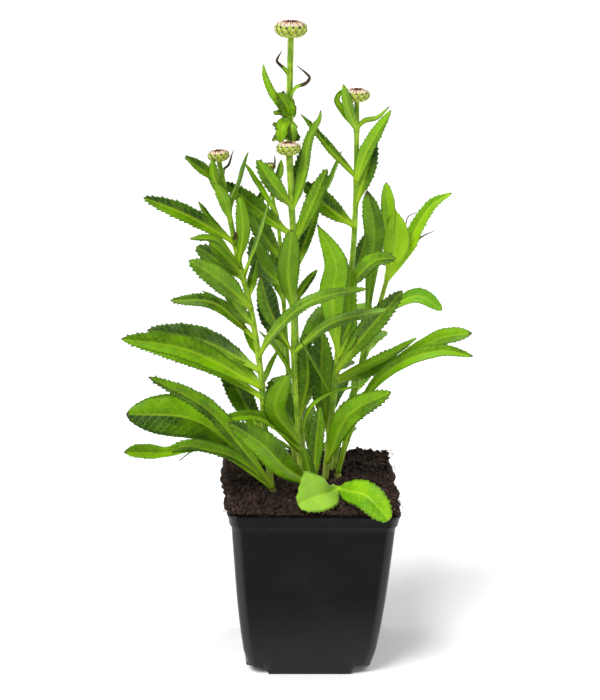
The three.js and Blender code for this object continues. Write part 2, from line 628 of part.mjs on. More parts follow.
function bractSolid(head) {
  const rings = headRings(head, HEAD_FOOT, head.rays ? BRACTS_TO : BRACTS_SHUT, 3, BRACT_LOBE);
  if (head.rays) rings.push(rings.at(-1).map((p) => new THREE.Vector3(p.x * 0.8, p.y * 0.8, p.z - 0.4)));
  return toSolid(skin(rings));
}

function raySolid(head) {
  const rings = headRings(head, RAYS_FROM, RAYS_TO, 1, RAY_LOBE, RAY_INSET);
  const seat = rings[0].map((p) => new THREE.Vector3(p.x * 0.7, p.y * 0.7, p.z + 0.1));
  const dimple = rings.at(-1).map((p) => new THREE.Vector3(p.x * 0.45, p.y * 0.45, p.z - 0.9));
  return toSolid(skin([seat, ...rings, dimple]));
}

// Assembly

function mesh(name, solid, look) {
  const made = new THREE.Mesh(toGeometry(solid), new THREE.MeshStandardMaterial({ ...look, metalness: 0 }));
  made.name = name;
  return made;
}

function headGroup(name, head) {
  const curve = routeOf(SHOOTS[head.stem].route);
  const group = new THREE.Group();
  const up = curve.getTangentAt(1).add(new THREE.Vector3(0, 0, 1)).normalize();
  const lift = GAP - 0.5 * head.height * (1 - Math.cos(HEAD_FOOT));
  group.position.copy(curve.getPointAt(1)).addScaledVector(up, lift);
  group.quaternion.setFromUnitVectors(new THREE.Vector3(0, 0, 1), up);
  group.add(mesh(name, bractSolid(head), COLOURS.bracts));
  if (head.rays) group.add(mesh(`${name}_rays`, raySolid(head), COLOURS.rays));
  return group;
}

const daisy = new THREE.Group();
const holes = [];
for (const [name, shoot] of Object.entries(SHOOTS)) {
  holes.push(stemSolid(shoot, STEM_HOLE_CLEARANCE, STEM_IN_PEAT));
  daisy.add(mesh(name, shootSolid(shoot), COLOURS.stem));
}
for (const [name, tuft] of Object.entries(TUFTS)) {
  holes.push(stockSolid(tuft.crown, STEM_HOLE_CLEARANCE));
  daisy.add(mesh(name, tuftSolid(tuft), name === "young_leaves" ? COLOURS.young : COLOURS.stem));
}
for (const [name, head] of Object.entries(HEADS)) daisy.add(headGroup(name, head));
daisy.add(mesh("soil", makeSoil(joined(holes)), COLOURS.soil));
daisy.add(mesh("pot", makePot(), COLOURS.pot));

export default daisy;
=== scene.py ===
import itertools
import math
import bpy
import numpy as np
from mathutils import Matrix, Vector


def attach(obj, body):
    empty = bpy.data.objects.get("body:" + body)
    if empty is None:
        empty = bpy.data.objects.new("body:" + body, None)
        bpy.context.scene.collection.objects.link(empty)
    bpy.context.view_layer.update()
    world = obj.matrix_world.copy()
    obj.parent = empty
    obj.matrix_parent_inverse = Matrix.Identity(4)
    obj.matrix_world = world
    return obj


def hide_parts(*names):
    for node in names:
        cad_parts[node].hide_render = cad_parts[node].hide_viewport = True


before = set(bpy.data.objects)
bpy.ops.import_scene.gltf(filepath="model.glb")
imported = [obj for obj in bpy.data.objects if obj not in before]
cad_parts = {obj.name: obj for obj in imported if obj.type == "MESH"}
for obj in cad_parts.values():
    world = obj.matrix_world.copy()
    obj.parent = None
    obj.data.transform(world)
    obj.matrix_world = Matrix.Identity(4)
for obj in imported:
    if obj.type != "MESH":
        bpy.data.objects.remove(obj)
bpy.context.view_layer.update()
mm = 0.001  # every size below is in millimetres

# The plant is laid out on an upright drawing plane through the pot's middle, seen from the camera's place.
# A point is (across, up, depth behind the plane), and it keeps its line of sight when its depth changes. The
# drawing is turned by its lean, in radians, about a height on its upright axis. The camera rolls to match.
drawing = {"eye": (-83.6, -1427.8, 660.8), "level": 115.0, "place": (-0.7, 0.0, 114.5), "lean": 0.0226,
           "lookAt": (-8.8, 0.0, 207.3), "lens": 121.2, "roll": 1.316}
eye = np.array(drawing["eye"])
turnX, turnZ = math.cos(drawing["lean"]), math.sin(drawing["lean"])


def seen(point):
    # where a point of the drawing stands: it is turned by the lean onto the plane, then slid along its line
    # of sight by its depth over the eye's distance
    across, rise = point[0], point[1] - drawing["level"]
    flat = np.array([across * turnX - rise * turnZ, 0.0, rise * turnX + across * turnZ]) + drawing["place"]
    return flat + (flat - eye) * point[2] / -eye[1]


def pointAt(route, height):
    # the point of a route at a height on the drawing, which undoes the two steps of seen
    share = route[:, 1:2] / -eye[1]
    flat = (route + eye * share) / (1 + share) - drawing["place"]
    up = drawing["level"] + flat[:, 2] * turnX - flat[:, 0] * turnZ
    return np.array([np.interp(height, up, route[:, k]) for k in range(3)])


# Small tools for surfaces

def unit(v):
    # each row divided by its length
    return v / np.maximum(np.linalg.norm(v, axis=-1, keepdims=True), 1e-9)


def softStep(x, low, high):
    # 0 up to low, 1 from high on, and 3tt - 2ttt in between, where t runs from 0 to 1
    t = np.clip((x - low) / (high - low), 0, 1)
    return t * t * (3 - 2 * t)


def bell(x, middle, spread):
    # e to the minus square of how many spreads x lies from the middle
    return np.exp(-((x - middle) / spread) ** 2)


def roundAngles(count):
    return np.linspace(0, 2 * np.pi, count, endpoint=False)[None, :]


def cloud(x, y, size, seed):
    # smooth noise from -1 to 1: a random value, the fraction of a large sine, at each corner of cells of that
    # size, blended with a soft step
    place = np.stack([x, y], -1) / size
    cell = np.floor(place)
    part = softStep(place - cell, 0, 1)
    total = 0
    for corner in itertools.product((0, 1), repeat=2):
        value = np.sin((cell + corner) @ [127.1, 311.7] + seed * 19.19) * 43758.5453
        total += np.where(corner, part, 1 - part).prod(-1) * (value - np.floor(value))
    return total * 2 - 1


def smoothRoute(points, count=240):
    # Catmull-Rom curve through the points, run straight on past both ends
    p = np.array(points, float)
    p = np.vstack([2 * p[0] - p[1], p, 2 * p[-1] - p[-2]])
    spans = len(p) - 3
    t = np.linspace(0, spans, count)
    i = np.minimum(t.astype(int), spans - 1)
    f = (t - i)[:, None]
    a, b, c, d = p[i], p[i + 1], p[i + 2], p[i + 3]
    return b + 0.5 * f * ((c - a) + f * ((2 * a - 5 * b + 4 * c - d) + f * (3 * (b - c) + d - a)))


def runOf(route):
    # the length that has been covered at each point of a route
    return np.concatenate([[0], np.cumsum(np.linalg.norm(np.diff(route, axis=0), axis=1))])


def alongRoute(route, shares):
    # points and directions at the given shares of a route's length
    run = runOf(route)

    def at(values):
        return np.stack([np.interp(shares * run[-1], run, values[:, k]) for k in range(3)], 1)
    return at(route), unit(at(unit(np.gradient(route, axis=0))))


def ringQuads(rows, around):
    # the faces between each ring of points and the next
    i = np.arange(rows - 1)[:, None] * around
    j = np.arange(around)[None, :]
    k = (j + 1) % around
    return np.stack([i + j, i + k, i + around + k, i + around + j], -1).reshape(-1, 4)


def closedSkin(grid, layers, material=0):
    # a grid of rings (rows, round, xyz) as one closed skin with a pole at each end and its faces outward, for
    # which their volume is positive. Layers are values painted on its points.
    rows, around, _ = grid.shape
    quads, pole = ringQuads(rows, around), rows * around
    j, k = np.arange(around), np.roll(np.arange(around), -1)
    caps = np.concatenate([np.stack([k, j, 0 * j + pole], 1),
                           np.stack([j + pole - around, k + pole - around, 0 * j + pole + 1], 1)])
    points = np.concatenate([grid.reshape(-1, 3), [grid[0].mean(0), grid[-1].mean(0)]])
    corners = points[quads] - points.mean(0)
    volume = sum((corners[:, 0] * np.cross(corners[:, n], corners[:, n + 1])).sum() for n in (1, 2))
    if volume < 0:
        quads, caps = quads[:, ::-1], caps[:, ::-1]
    spread = {}
    for name, values in layers.items():
        values = np.broadcast_to(values, (rows, around))
        spread[name] = np.concatenate([values.ravel(), [values[0].mean(), values[-1].mean()]])
    return {"points": points, "quads": quads, "tris": caps, "layers": spread, "material": material}


def link(thing):
    bpy.context.scene.collection.objects.link(thing)
    return thing


def makePiece(name, parts, materials, slot, *replaced):
    # one object from many skins: points, faces, smooth shading, material numbers and painted values
    mesh = bpy.data.meshes.new(name)
    points = np.concatenate([part["points"] for part in parts]) * mm
    starts = np.cumsum([0] + [len(part["points"]) for part in parts])
    quads, tris = (np.concatenate([part[kind] + start for part, start in zip(parts, starts)])
                   for kind in ("quads", "tris"))
    numbers = [np.full(len(part[kind]), part["material"]) for kind in ("quads", "tris") for part in parts]
    mesh.from_pydata(points.tolist(), [], quads.tolist() + tris.tolist())
    mesh.polygons.foreach_set("material_index", np.concatenate(numbers).astype(np.int32))
    mesh.shade_smooth()
    for layer in sorted({key for part in parts for key in part["layers"]}):
        values = [part["layers"].get(layer, np.zeros(len(part["points"]))) for part in parts]
        spot = mesh.attributes.new(layer, "FLOAT", "POINT")
        spot.data.foreach_set("value", np.concatenate(values).astype(np.float32))
    for material in materials:
        mesh.materials.append(material)
    piece = link(bpy.data.objects.new(name, mesh))
    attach(piece, "root")
    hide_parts(*replaced)
    print(f"{name}: {len(quads) * 2 + len(tris)} triangles")
    return piece


# Small tools for materials

def connect(tree, owner, inputs):
    # feeds each input from a socket, or gives it a fixed value
    for socket, value in inputs.items():
        if isinstance(value, bpy.types.NodeSocket):
            tree.links.new(value, owner.inputs[socket])
        else:
            owner.inputs[socket].default_value = value
    return owner


def node(tree, kind, inputs=None, **settings):
    made = tree.nodes.new("ShaderNode" + kind)
    for key, value in settings.items():
        setattr(made, key, value)
    return connect(tree, made, inputs or {})


def newMaterial(name, fixed):
    material = bpy.data.materials.new(name)
    material.use_nodes = True
    tree = material.node_tree
    return material, tree, connect(tree, tree.nodes["Principled BSDF"], fixed)


def maths(tree, operation, a, b=0.0, clamp=False):
    return node(tree, "Math", {0: a, 1: b}, operation=operation, use_clamp=clamp).outputs[0]


def ranged(tree, value, low, high, to=(0.0, 1.0)):
    # the value's range from low to high, eased, onto another range
    inputs = {"Value": value, "From Min": low, "From Max": high, "To Min": to[0], "To Max": to[1]}
    return node(tree, "MapRange", inputs, interpolation_type="SMOOTHSTEP").outputs[0]


def painted(tree, name):
    return node(tree, "Attribute", attribute_name=name).outputs["Fac"]


def objectPlace(tree):
    return node(tree, "TexCoord").outputs["Object"]


def drawnOut(tree, place, squash):
    # a place squashed in height, so that a pattern on it is drawn out upwards
    return node(tree, "Mapping", {"Vector": place, "Scale": (1.0, 1.0, squash)}).outputs[0]


def noise(tree, place, scale, detail=3.0, roughness=0.55):
    inputs = {"Vector": place, "Scale": scale, "Detail": detail, "Roughness": roughness}
    return node(tree, "TexNoise", inputs).outputs["Fac"]


def srgb(red, green, blue):
    # a screen colour from 0 to 255 as the renderer's own light values
    def lit(part):
        part /= 255
        return part / 12.92 if part <= 0.04045 else ((part + 0.055) / 1.055) ** 2.4
    return (lit(red), lit(green), lit(blue), 1.0)


def blended(tree, share, first, second):
    return node(tree, "Mix", {0: share, 6: first, 7: second}, data_type="RGBA").outputs[2]


def between(tree, share, colours):
    return blended(tree, share, srgb(*colours[0]), srgb(*colours[1]))


def coated(tree, colour, coats, **masks):
    # coats laid over a colour in turn: the mask of each, made here or painted on the piece, runs from its
    # low to its high value, which gives its two strengths
    for mask, low, high, strengths, coat in coats:
        mask = masks.get(mask) or painted(tree, mask)
        colour = blended(tree, ranged(tree, mask, low, high, strengths), colour, srgb(*coat))
    return colour


def dress(tree, shader, colour, roughness, height=None, bump=None):
    # what every skin ends with: its colour, its roughness and its bump, given as strength and distance
    connect(tree, shader, {"Base Color": colour, "Roughness": roughness})
    if bump:
        made = node(tree, "Bump", {"Height": height, "Strength": bump[0], "Distance": bump[1]})
        tree.links.new(made.outputs[0], shader.inputs["Normal"])


# Materials. Colours are screen colours, and scales are those of noises, in lumps to a metre. A coat has a
# mask, the mask's low and high value, the coat's strength at both, and a colour.

softSkin = {"Specular IOR Level": 0.25, "Subsurface Weight": 0.1, "Subsurface Scale": 0.001}

tissueLook = {
    # the pale bloom colour is partly the leaf's own bloom and partly a painted sheen
    "bloom": (146, 186, 78), "husk": ((30, 24, 18), (88, 70, 44)), "huskScale": 500.0,
    "patchScale": 60.0, "patches": 0.2, "fineScale": 900.0, "grain": 0.1,
    "wanderScale": 260.0, "wander": 0.6, "veinWidth": 0.13, "netScale": 620.0, "netWidth": 0.12,
    "rough": (0.34, 0.48),
}


def makeLeafTissue():
    # Green tissue from dark to light by its tone, which soft patches and a fine grain shift. Over it lie side
    # veins, a pale bloom that is partly a painted sheen, a net of fine veins, a duller underside, the midrib,
    # the dark margin and dry ends.
    # A side vein runs where the painted vein value plus some noise is halfway between two whole numbers.
    group = bpy.data.node_groups.new("leafTissue", "ShaderNodeTree")
    sockets = {"INPUT": {"Tone": "Float", "Dark": "Color", "Light": "Color", "Rib": "Color", "Under": "Color",
                         "Edge": "Color"},
               "OUTPUT": {"Colour": "Color", "Roughness": "Float", "Height": "Float"}}
    for way, labels in sockets.items():
        for label, kind in labels.items():
            group.interface.new_socket(label, in_out=way, socket_type="NodeSocket" + kind)
    given = group.nodes.new("NodeGroupInput").outputs
    look = tissueLook

    def times(a, b):
        return maths(group, "MULTIPLY", a, b)

    def plus(a, b, clamp=False):
        return maths(group, "ADD", a, b, clamp)

    def swing(value, low, high, size):
        return ranged(group, value, low, high, (-size, size))

    place = objectPlace(group)
    fine = noise(group, place, look["fineScale"], 4.0)
    patches = swing(noise(group, place, look["patchScale"]), 0.32, 0.68, look["patches"])
    tone = plus(plus(given["Tone"], patches), swing(fine, 0.35, 0.65, look["grain"]), True)
    wander = times(noise(group, place, look["wanderScale"]), look["wander"])
    phase = maths(group, "FRACT", plus(painted(group, "vein"), wander))
    offLine = maths(group, "ABSOLUTE", maths(group, "SUBTRACT", phase, 0.5))
    cells = node(group, "TexVoronoi", {"Vector": place, "Scale": look["netScale"]},
                 feature="DISTANCE_TO_EDGE").outputs["Distance"]
    vein = ranged(group, offLine, 0.0, look["veinWidth"], (1.0, 0.0))
    net = ranged(group, cells, 0.0, look["netWidth"], (1.0, 0.0))
    bloom = times(painted(group, "bloom"), ranged(group, fine, 0.3, 0.7, (0.7, 1.0)))
    below = maths(group, "SUBTRACT", 1.0, painted(group, "upper"))
    dry = ranged(group, painted(group, "dry"), 0.25, 0.75)
    husk = between(group, noise(group, place, look["huskScale"]), look["husk"])
    colour = blended(group, tone, given["Dark"], given["Light"])
    coats = (  # mask, strength, colour
        (vein, 0.13, given["Rib"]), (bloom, 1.0, srgb(*look["bloom"])), (net, 0.08, given["Rib"]),
        (below, 0.6, given["Under"]), (painted(group, "rib"), 0.6, given["Rib"]),
        (painted(group, "margin"), 0.85, given["Edge"]), (dry, 1.0, husk))
    for mask, strength, coat in coats:
        colour = blended(group, times(mask, strength), colour, coat)
    height = plus(plus(times(vein, -0.6), times(net, -0.2)), times(fine, 0.35))
    connect(group, group.nodes.new("NodeGroupOutput"), {
        "Colour": colour, "Roughness": ranged(group, fine, 0.3, 0.7, look["rough"]), "Height": height})
    return group


foliageLook = {
    "foliage": {"Dark": (10, 52, 0), "Light": (116, 168, 0), "Rib": (180, 212, 44), "Under": (98, 140, 18),
                "Edge": (22, 42, 4)},
    "youngFoliage": {"Dark": (84, 146, 0), "Light": (158, 206, 16), "Rib": (196, 228, 56),
                     "Under": (144, 190, 50), "Edge": (70, 110, 8)},
}


def makeFoliage(name, tissue):
    fixed = {"Specular IOR Level": 0.16, "Subsurface Weight": 0.12, "Subsurface Radius": (0.5, 1.0, 0.1)}
    material, tree, shader = newMaterial(name, {**softSkin, **fixed})
    inputs = {label: srgb(*colour) for label, colour in foliageLook[name].items()}
    made = node(tree, "Group", {"Tone": painted(tree, "tone"), **inputs}, node_tree=tissue).outputs
    dress(tree, shader, made["Colour"], made["Roughness"], made["Height"], (0.5, 0.0003))
    return material


stemLook = {
    "body": ((106, 152, 12), (168, 202, 48)), "husk": ((56, 38, 28), (128, 92, 54)), "huskScale": 500.0,
    "coats": (("groove", 0.2, 1.0, (0.0, 0.6), (54, 94, 4)),
              ("along", 0.02, 0.3, (0.5, 0.0), (196, 206, 96)),
              ("streak", 0.5, 0.72, (0.0, 0.25), (198, 212, 100))),
    "mottleScale": 160.0, "streakScale": 1800.0, "streakSquash": 0.08, "rough": (0.4, 0.52),
    "bump": (0.3, 0.0002),
}


def makeStemSkin():
    # pale green skin with fine lengthwise lines, darker in its grooves, paler near the peat, brown where dry
    look = stemLook
    material, tree, shader = newMaterial("stemSkin", softSkin)
    place = objectPlace(tree)
    mottle = noise(tree, place, look["mottleScale"])
    streak = noise(tree, drawnOut(tree, place, look["streakSquash"]), look["streakScale"])
    green = between(tree, ranged(tree, mottle, 0.35, 0.65), look["body"])
    green = coated(tree, green, look["coats"], streak=streak)
    husk = between(tree, noise(tree, place, look["huskScale"]), look["husk"])
    colour = blended(tree, painted(tree, "dry"), green, husk)
    dress(tree, shader, colour, ranged(tree, mottle, 0.3, 0.7, look["rough"]), streak, look["bump"])
    return material


headLook = {
    # bracts: greener at the foot, cream towards the tip, with a dark rim and a brown tip
    "bractSkin": {
        "body": ((124, 150, 22), (184, 202, 76)), "bodyScale": 700.0, "fineScale": 2400.0,
        "coats": (("along", 0.0, 0.5, (0.5, 0.0), (96, 128, 14)),
                  ("along", 0.7, 0.92, (0.0, 0.75), (236, 214, 170)),
                  ("edge", 0.66, 0.9, (0.0, 0.95), (58, 62, 14)),
                  ("along", 0.93, 1.0, (0.0, 0.8), (120, 72, 48))),
        "rough": (0.45, 0.6), "bump": (0.25, 0.0002), "fixed": softSkin,
    },
    # florets: cream, pink and then brown where their tips meet, and green at the foot
    "raySkin": {
        "body": ((236, 222, 196), (216, 190, 160)), "bodyScale": 900.0, "fineScale": 2000.0,
        "coats": (("along", 0.5, 0.9, (0.0, 0.75), (214, 160, 132)),
                  ("along", 0.9, 1.0, (0.0, 0.8), (110, 72, 52)),
                  ("edge", 0.7, 1.0, (0.0, 0.7), (150, 104, 74)),
                  ("along", 0.0, 0.3, (0.7, 0.0), (150, 168, 76))),
        "rough": (0.5, 0.7), "bump": None, "fixed": {"Subsurface Weight": 0.12, "Subsurface Scale": 0.001},
    },
}


def makeHeadSkin(name):
    look = headLook[name]
    material, tree, shader = newMaterial(name, look["fixed"])
    place = objectPlace(tree)
    fine = noise(tree, place, look["fineScale"])
    body = between(tree, noise(tree, place, look["bodyScale"]), look["body"])
    rough = ranged(tree, fine, 0.3, 0.7, look["rough"])
    dress(tree, shader, coated(tree, body, look["coats"]), rough, fine, look["bump"])
    return material


peatLook = {
    "body": ((5, 3, 3), (72, 52, 44)), "bodyScale": 420.0, "fleckScale": 1100.0, "grainScale": 1300.0,
    "coats": (("pale", 0.35, 1.0, (0.0, 1.0), (132, 108, 88)),
              ("fleck", 0.64, 0.74, (0.0, 0.75), (132, 112, 100))),
    "rough": (0.6, 0.95), "bump": (0.9, 0.0012), "shine": 0.2,
}


def makePeat():
    # moist peat from near black to brown, with pale crumbs and fibres where they are painted, and flecks
    look = peatLook
    material, tree, shader = newMaterial("peat", {"Specular IOR Level": look["shine"]})
    place = objectPlace(tree)
    clods = noise(tree, place, look["bodyScale"], 6.0, 0.7)
    body = between(tree, ranged(tree, clods, 0.36, 0.68), look["body"])
    body = coated(tree, body, look["coats"], fleck=noise(tree, place, look["fleckScale"], 2.0))
    grain = noise(tree, place, look["grainScale"], 8.0, 0.75)
    dress(tree, shader, body, ranged(tree, grain, 0.3, 0.7, look["rough"]), grain, look["bump"])
    return material


potLook = {
    # body: the black plastic, and the grey of painted bounce light near its foot
    "body": ((9, 9, 10), (42, 41, 41)), "bounceLitTo": 0.06, "dust": (46, 32, 24), "dustAt": (0.1, 0.113),
    # coats: soft smears, and a painted reflection where the corners turn
    "coats": (("smear", 0.45, 0.75, (0.0, 0.3), (34, 32, 31)),
              ("corner", 0.0, 0.45, (0.0, 0.85), (56, 55, 55))),
    "smearScale": 28.0, "speckScale": 700.0, "grainScale": 2600.0, "scuffScale": 240.0, "scuffSquash": 0.15,
    "rough": (0.12, 0.26), "bump": (0.18, 0.0004), "shine": 0.1,
}


def makePotPlastic():
    # Satin black plastic, greyed near its foot by painted bounce light from the floor and lightened where its
    # corners turn by a painted reflection, with soft smears, a fine moulded grain and specks of peat, most of
    # them on the rim. The corner mask is the normal's |x * y|.
    look = potLook
    material, tree, shader = newMaterial("potPlastic", {"Specular IOR Level": look["shine"]})
    place = objectPlace(tree)
    up = node(tree, "SeparateXYZ", {0: place}).outputs["Z"]
    smear = noise(tree, place, look["smearScale"], 5.0, 0.6)
    facing = node(tree, "SeparateXYZ", {0: node(tree, "TexCoord").outputs["Normal"]}).outputs
    # painted reflection where the corners turn
    corner = maths(tree, "ABSOLUTE", maths(tree, "MULTIPLY", facing["X"], facing["Y"]))
    # painted bounce light greys the plastic near its foot
    body = between(tree, ranged(tree, up, 0.0, look["bounceLitTo"], (1.0, 0.0)), look["body"])
    body = coated(tree, body, look["coats"], smear=smear, corner=corner)
    speck = ranged(tree, noise(tree, place, look["speckScale"]), 0.63, 0.7)
    nearRim = ranged(tree, up, *look["dustAt"], (0.06, 0.7))
    body = blended(tree, maths(tree, "MULTIPLY", speck, nearRim), body, srgb(*look["dust"]))
    grain = maths(tree, "MULTIPLY", noise(tree, place, look["grainScale"], 2.0), 0.15)
    height = maths(tree, "ADD", grain, maths(tree, "MULTIPLY", smear, 2.0))
    scuff = noise(tree, drawnOut(tree, place, look["scuffSquash"]), look["scuffScale"], 6.0)
    dress(tree, shader, body, ranged(tree, scuff, 0.35, 0.7, look["rough"]), height, look["bump"])
    return material


leafTissue = makeLeafTissue()
foliage, youngFoliage = (makeFoliage(name, leafTissue) for name in foliageLook)
stemSkin = makeStemSkin()
bractSkin, raySkin = (makeHeadSkin(name) for name in headLook)
peat, potPlastic = makePeat(), makePotPlastic()
print("materials ready")

# The plant

# Leaf outlines, in shares of the leaf's length: where it is widest, the power of its swell (less is fuller),
# the width of its foot, where its teeth begin and end, how far its margins wave and how much it twists. Then
# what sets it apart from a plain leaf: how deep its teeth bite, how ragged (far apart) they are, how blunt
# its end is, a lobe on one side, a pale bloom that is partly a painted sheen, a dry edge, and an end dry from
# where, to where and how much.
leafShape = ("widest", "full", "foot", "start", "end", "wave", "twist")
plainLeaf = {"bite": 1, "ragged": 1, "blunt": 0.9, "lobe": 0, "dry": (0.96, 1.0, 0.75), "dryEdge": 0}
leafKinds = {
    "blade": ((0.58, 0.72, 0.36, 0.14, 0.985, 0.07, 0.3), {}),
    "paddle": ((0.72, 0.75, 0.16, 0.4, 0.99, 0.06, 0.2), {"bite": 0.4}),
    "mitten": ((0.62, 0.6, 0.14, 0.3, 0.99, 0.05, 0.1), {"bite": 0.7, "lobe": 0.9, "bloom": 0.6}),
    "oval": ((0.66, 0.62, 0.14, 0.2, 0.99, 0.09, 0.1), {"bite": 0.8}),
    "stalked": ((0.87, 0.8, 0.26, 0.76, 0.99, 0.07, 0.2), {"bite": 0.6}),
    "lance": ((0.55, 0.9, 0.36, 0.2, 0.96, 0.08, 0.2), {"blunt": 1.0, "bite": 0.4}),
    "strap": ((0.45, 0.6, 0.5, 0.25, 0.9, 0.08, 0.5), {}),
    "crisp": ((0.55, 0.6, 0.36, 0.1, 0.99, 0.42, 0.7),
              {"ragged": 1.35, "bite": 1.5, "dry": (0.7, 1.0, 0.4), "dryEdge": 0.55}),
    "hook": ((0.4, 0.7, 0.6, 1.0, 1.0, 0.1, 0.6), {"dry": (0.85, 1.0, 1.0)}),
    "thread": ((0.4, 0.7, 0.5, 1.0, 1.0, 0.25, 1.5), {"dry": (0.2, 0.55, 1.0)}),
}

# Each shoot: its route, its radius at the foot and the top, and its leaves. A leaf: (height where it leaves
# the stem, outline, width, turn, tone from dark to light, points of its midrib). Turn 0 is a level blade, 1
# shows its upper face to the front and -1 its underside.
shoots = {}
shoots["stem_tall"] = {"radii": (2, 2), "leaves": [
    (385, "thread", 4, 0.6, 0.5, (-16, 389, 4), (-20.5, 394, 3), (-17, 400, 2)),
    (371, "thread", 4.6, 0.5, 0.5, (-8, 377, 3), (-2, 380, 1), (0, 384.5, 1), (-8, 391, 2)),
    (357, "strap", 5, 0.8, 0.7, (-19, 368, 0), (-23.5, 375, -2), (-27.2, 384, -3), (-28.4, 392, -3)),
    (358, "crisp", 9, 0.9, 0.45, (-14.5, 366, 1), (-20, 374, -1)),
    (374, "crisp", 3.8, 0.6, 0.3, (-10.5, 367, 9), (-9.4, 358.5, 9)),
    (358, "crisp", 7.5, 0.9, 0.7, (-16.8, 353, -1), (-17.5, 342.5, -2)),
    (286, "strap", 5, -0.6, 0.6, (3, 302, 16), (13, 318, 18), (20, 337, 18)),
    (312, "crisp", 7, 0.7, 0.25, (-6, 324, 12), (-4, 339, 12)),
    (262, "blade", 9, 0.3, 0.3, (-4, 280, 30), (2, 296, 40)),
    (236, "blade", 11, 0.2, 0.35, (6, 240, 38), (24, 243, 68)),
    (206, "blade", 13, 0.6, 0.4, (3, 220, 40), (9, 237, 62)),
    (176, "blade", 13, 0.1, 0.35, (13, 192, 40), (28, 200, 76)),
    (140, "blade", 13, 0.9, 0.2, (-15, 163, 18), (-19, 188, 20)),
    (240, "strap", 5.5, 0.7, 0.4, (-3, 250, 14), (5, 261, 16)),
    (357, "crisp", 6.5, 0.9, 0.35, (-11, 352, 1), (-10, 342.5, 0)),
    (360, "crisp", 4.2, 0.6, 0.3, (-18, 361, 2), (-22.5, 361.5, 1)),
    (361, "crisp", 4.2, 0.6, 0.3, (-10.5, 362, 1), (-8.3, 366, 0)),
    (352, "crisp", 4.2, 0.6, 0.3, (-18, 352, 1), (-22.8, 355, 0)),
    (347, "crisp", 4.5, 0.6, 0.3, (-18.5, 346, 2), (-23.2, 344, 1)),
    (347, "crisp", 4.5, 0.6, 0.3, (-9.5, 347, 2), (-6.2, 344, 1)),
], "route": [(-2, 106, 10), (-8, 200, 12), (-10.5, 290, 10), (-12.5, 350, 8), (-11.5, 409, 6)]}
shoots["stem_front"] = {"radii": (1.75, 1.75), "leaves": [
    (302, "blade", 10, 0.85, 0.45, (-23, 316.5, -22), (-33, 332, -23)),
    (300, "strap", 6.5, -0.8, 0.75, (-4, 324, -10), (0, 345, -9), (6, 357, -9), (7, 363, -9)),
    (298, "strap", 4.5, -0.7, 0.7, (-5, 315, -18), (-1, 329, -20)),
    (283, "blade", 11, 0.7, 0.3, (-24, 293, -8), (-38, 305, -4), (-53, 318, -2)),
    (277, "blade", 9.5, 0.85, 0.4, (2, 304, -18), (11, 326, -19)),
    (260, "strap", 7, 0.8, 0.2, (-2, 281, -9), (6, 304, -8)),
    (234, "blade", 13.5, -0.85, 0.5, (-13.4, 258, -30), (-11, 287, -42)),
    (206, "blade", 8.5, 0.6, 0.3, (14, 225, -24), (50, 234, -30)),
    (205, "paddle", 12.5, 0.85, 0.25, (-24, 232, -28), (-31, 257, -38)),
    (187, "strap", 5.5, 0.2, 0.4, (-20, 206, -12), (-32, 221, -7)),
    (160, "blade", 12, 0.8, 0.25, (-1, 188, -2), (-3, 219, 0)),
    (150, "blade", 12, 0.85, 0.3, (-21, 168, 0), (-25, 188, 4)),
    (145, "blade", 13.5, -0.8, 0.7, (-22, 168, -26), (-14, 192, -40)),
    (139, "blade", 8.5, 0.45, 0.55, (-32, 162, -23), (-60, 161, -26)),
    (142, "strap", 4.5, 0.3, 0.55, (0, 166, -9), (12, 177, -8), (24, 181, -8), (36, 184, -9)),
], "route": [(-4, 101, -8), (-7.5, 158, -11), (-10, 205, -14), (-10, 270, -15), (-13, 335.5, -12)]}
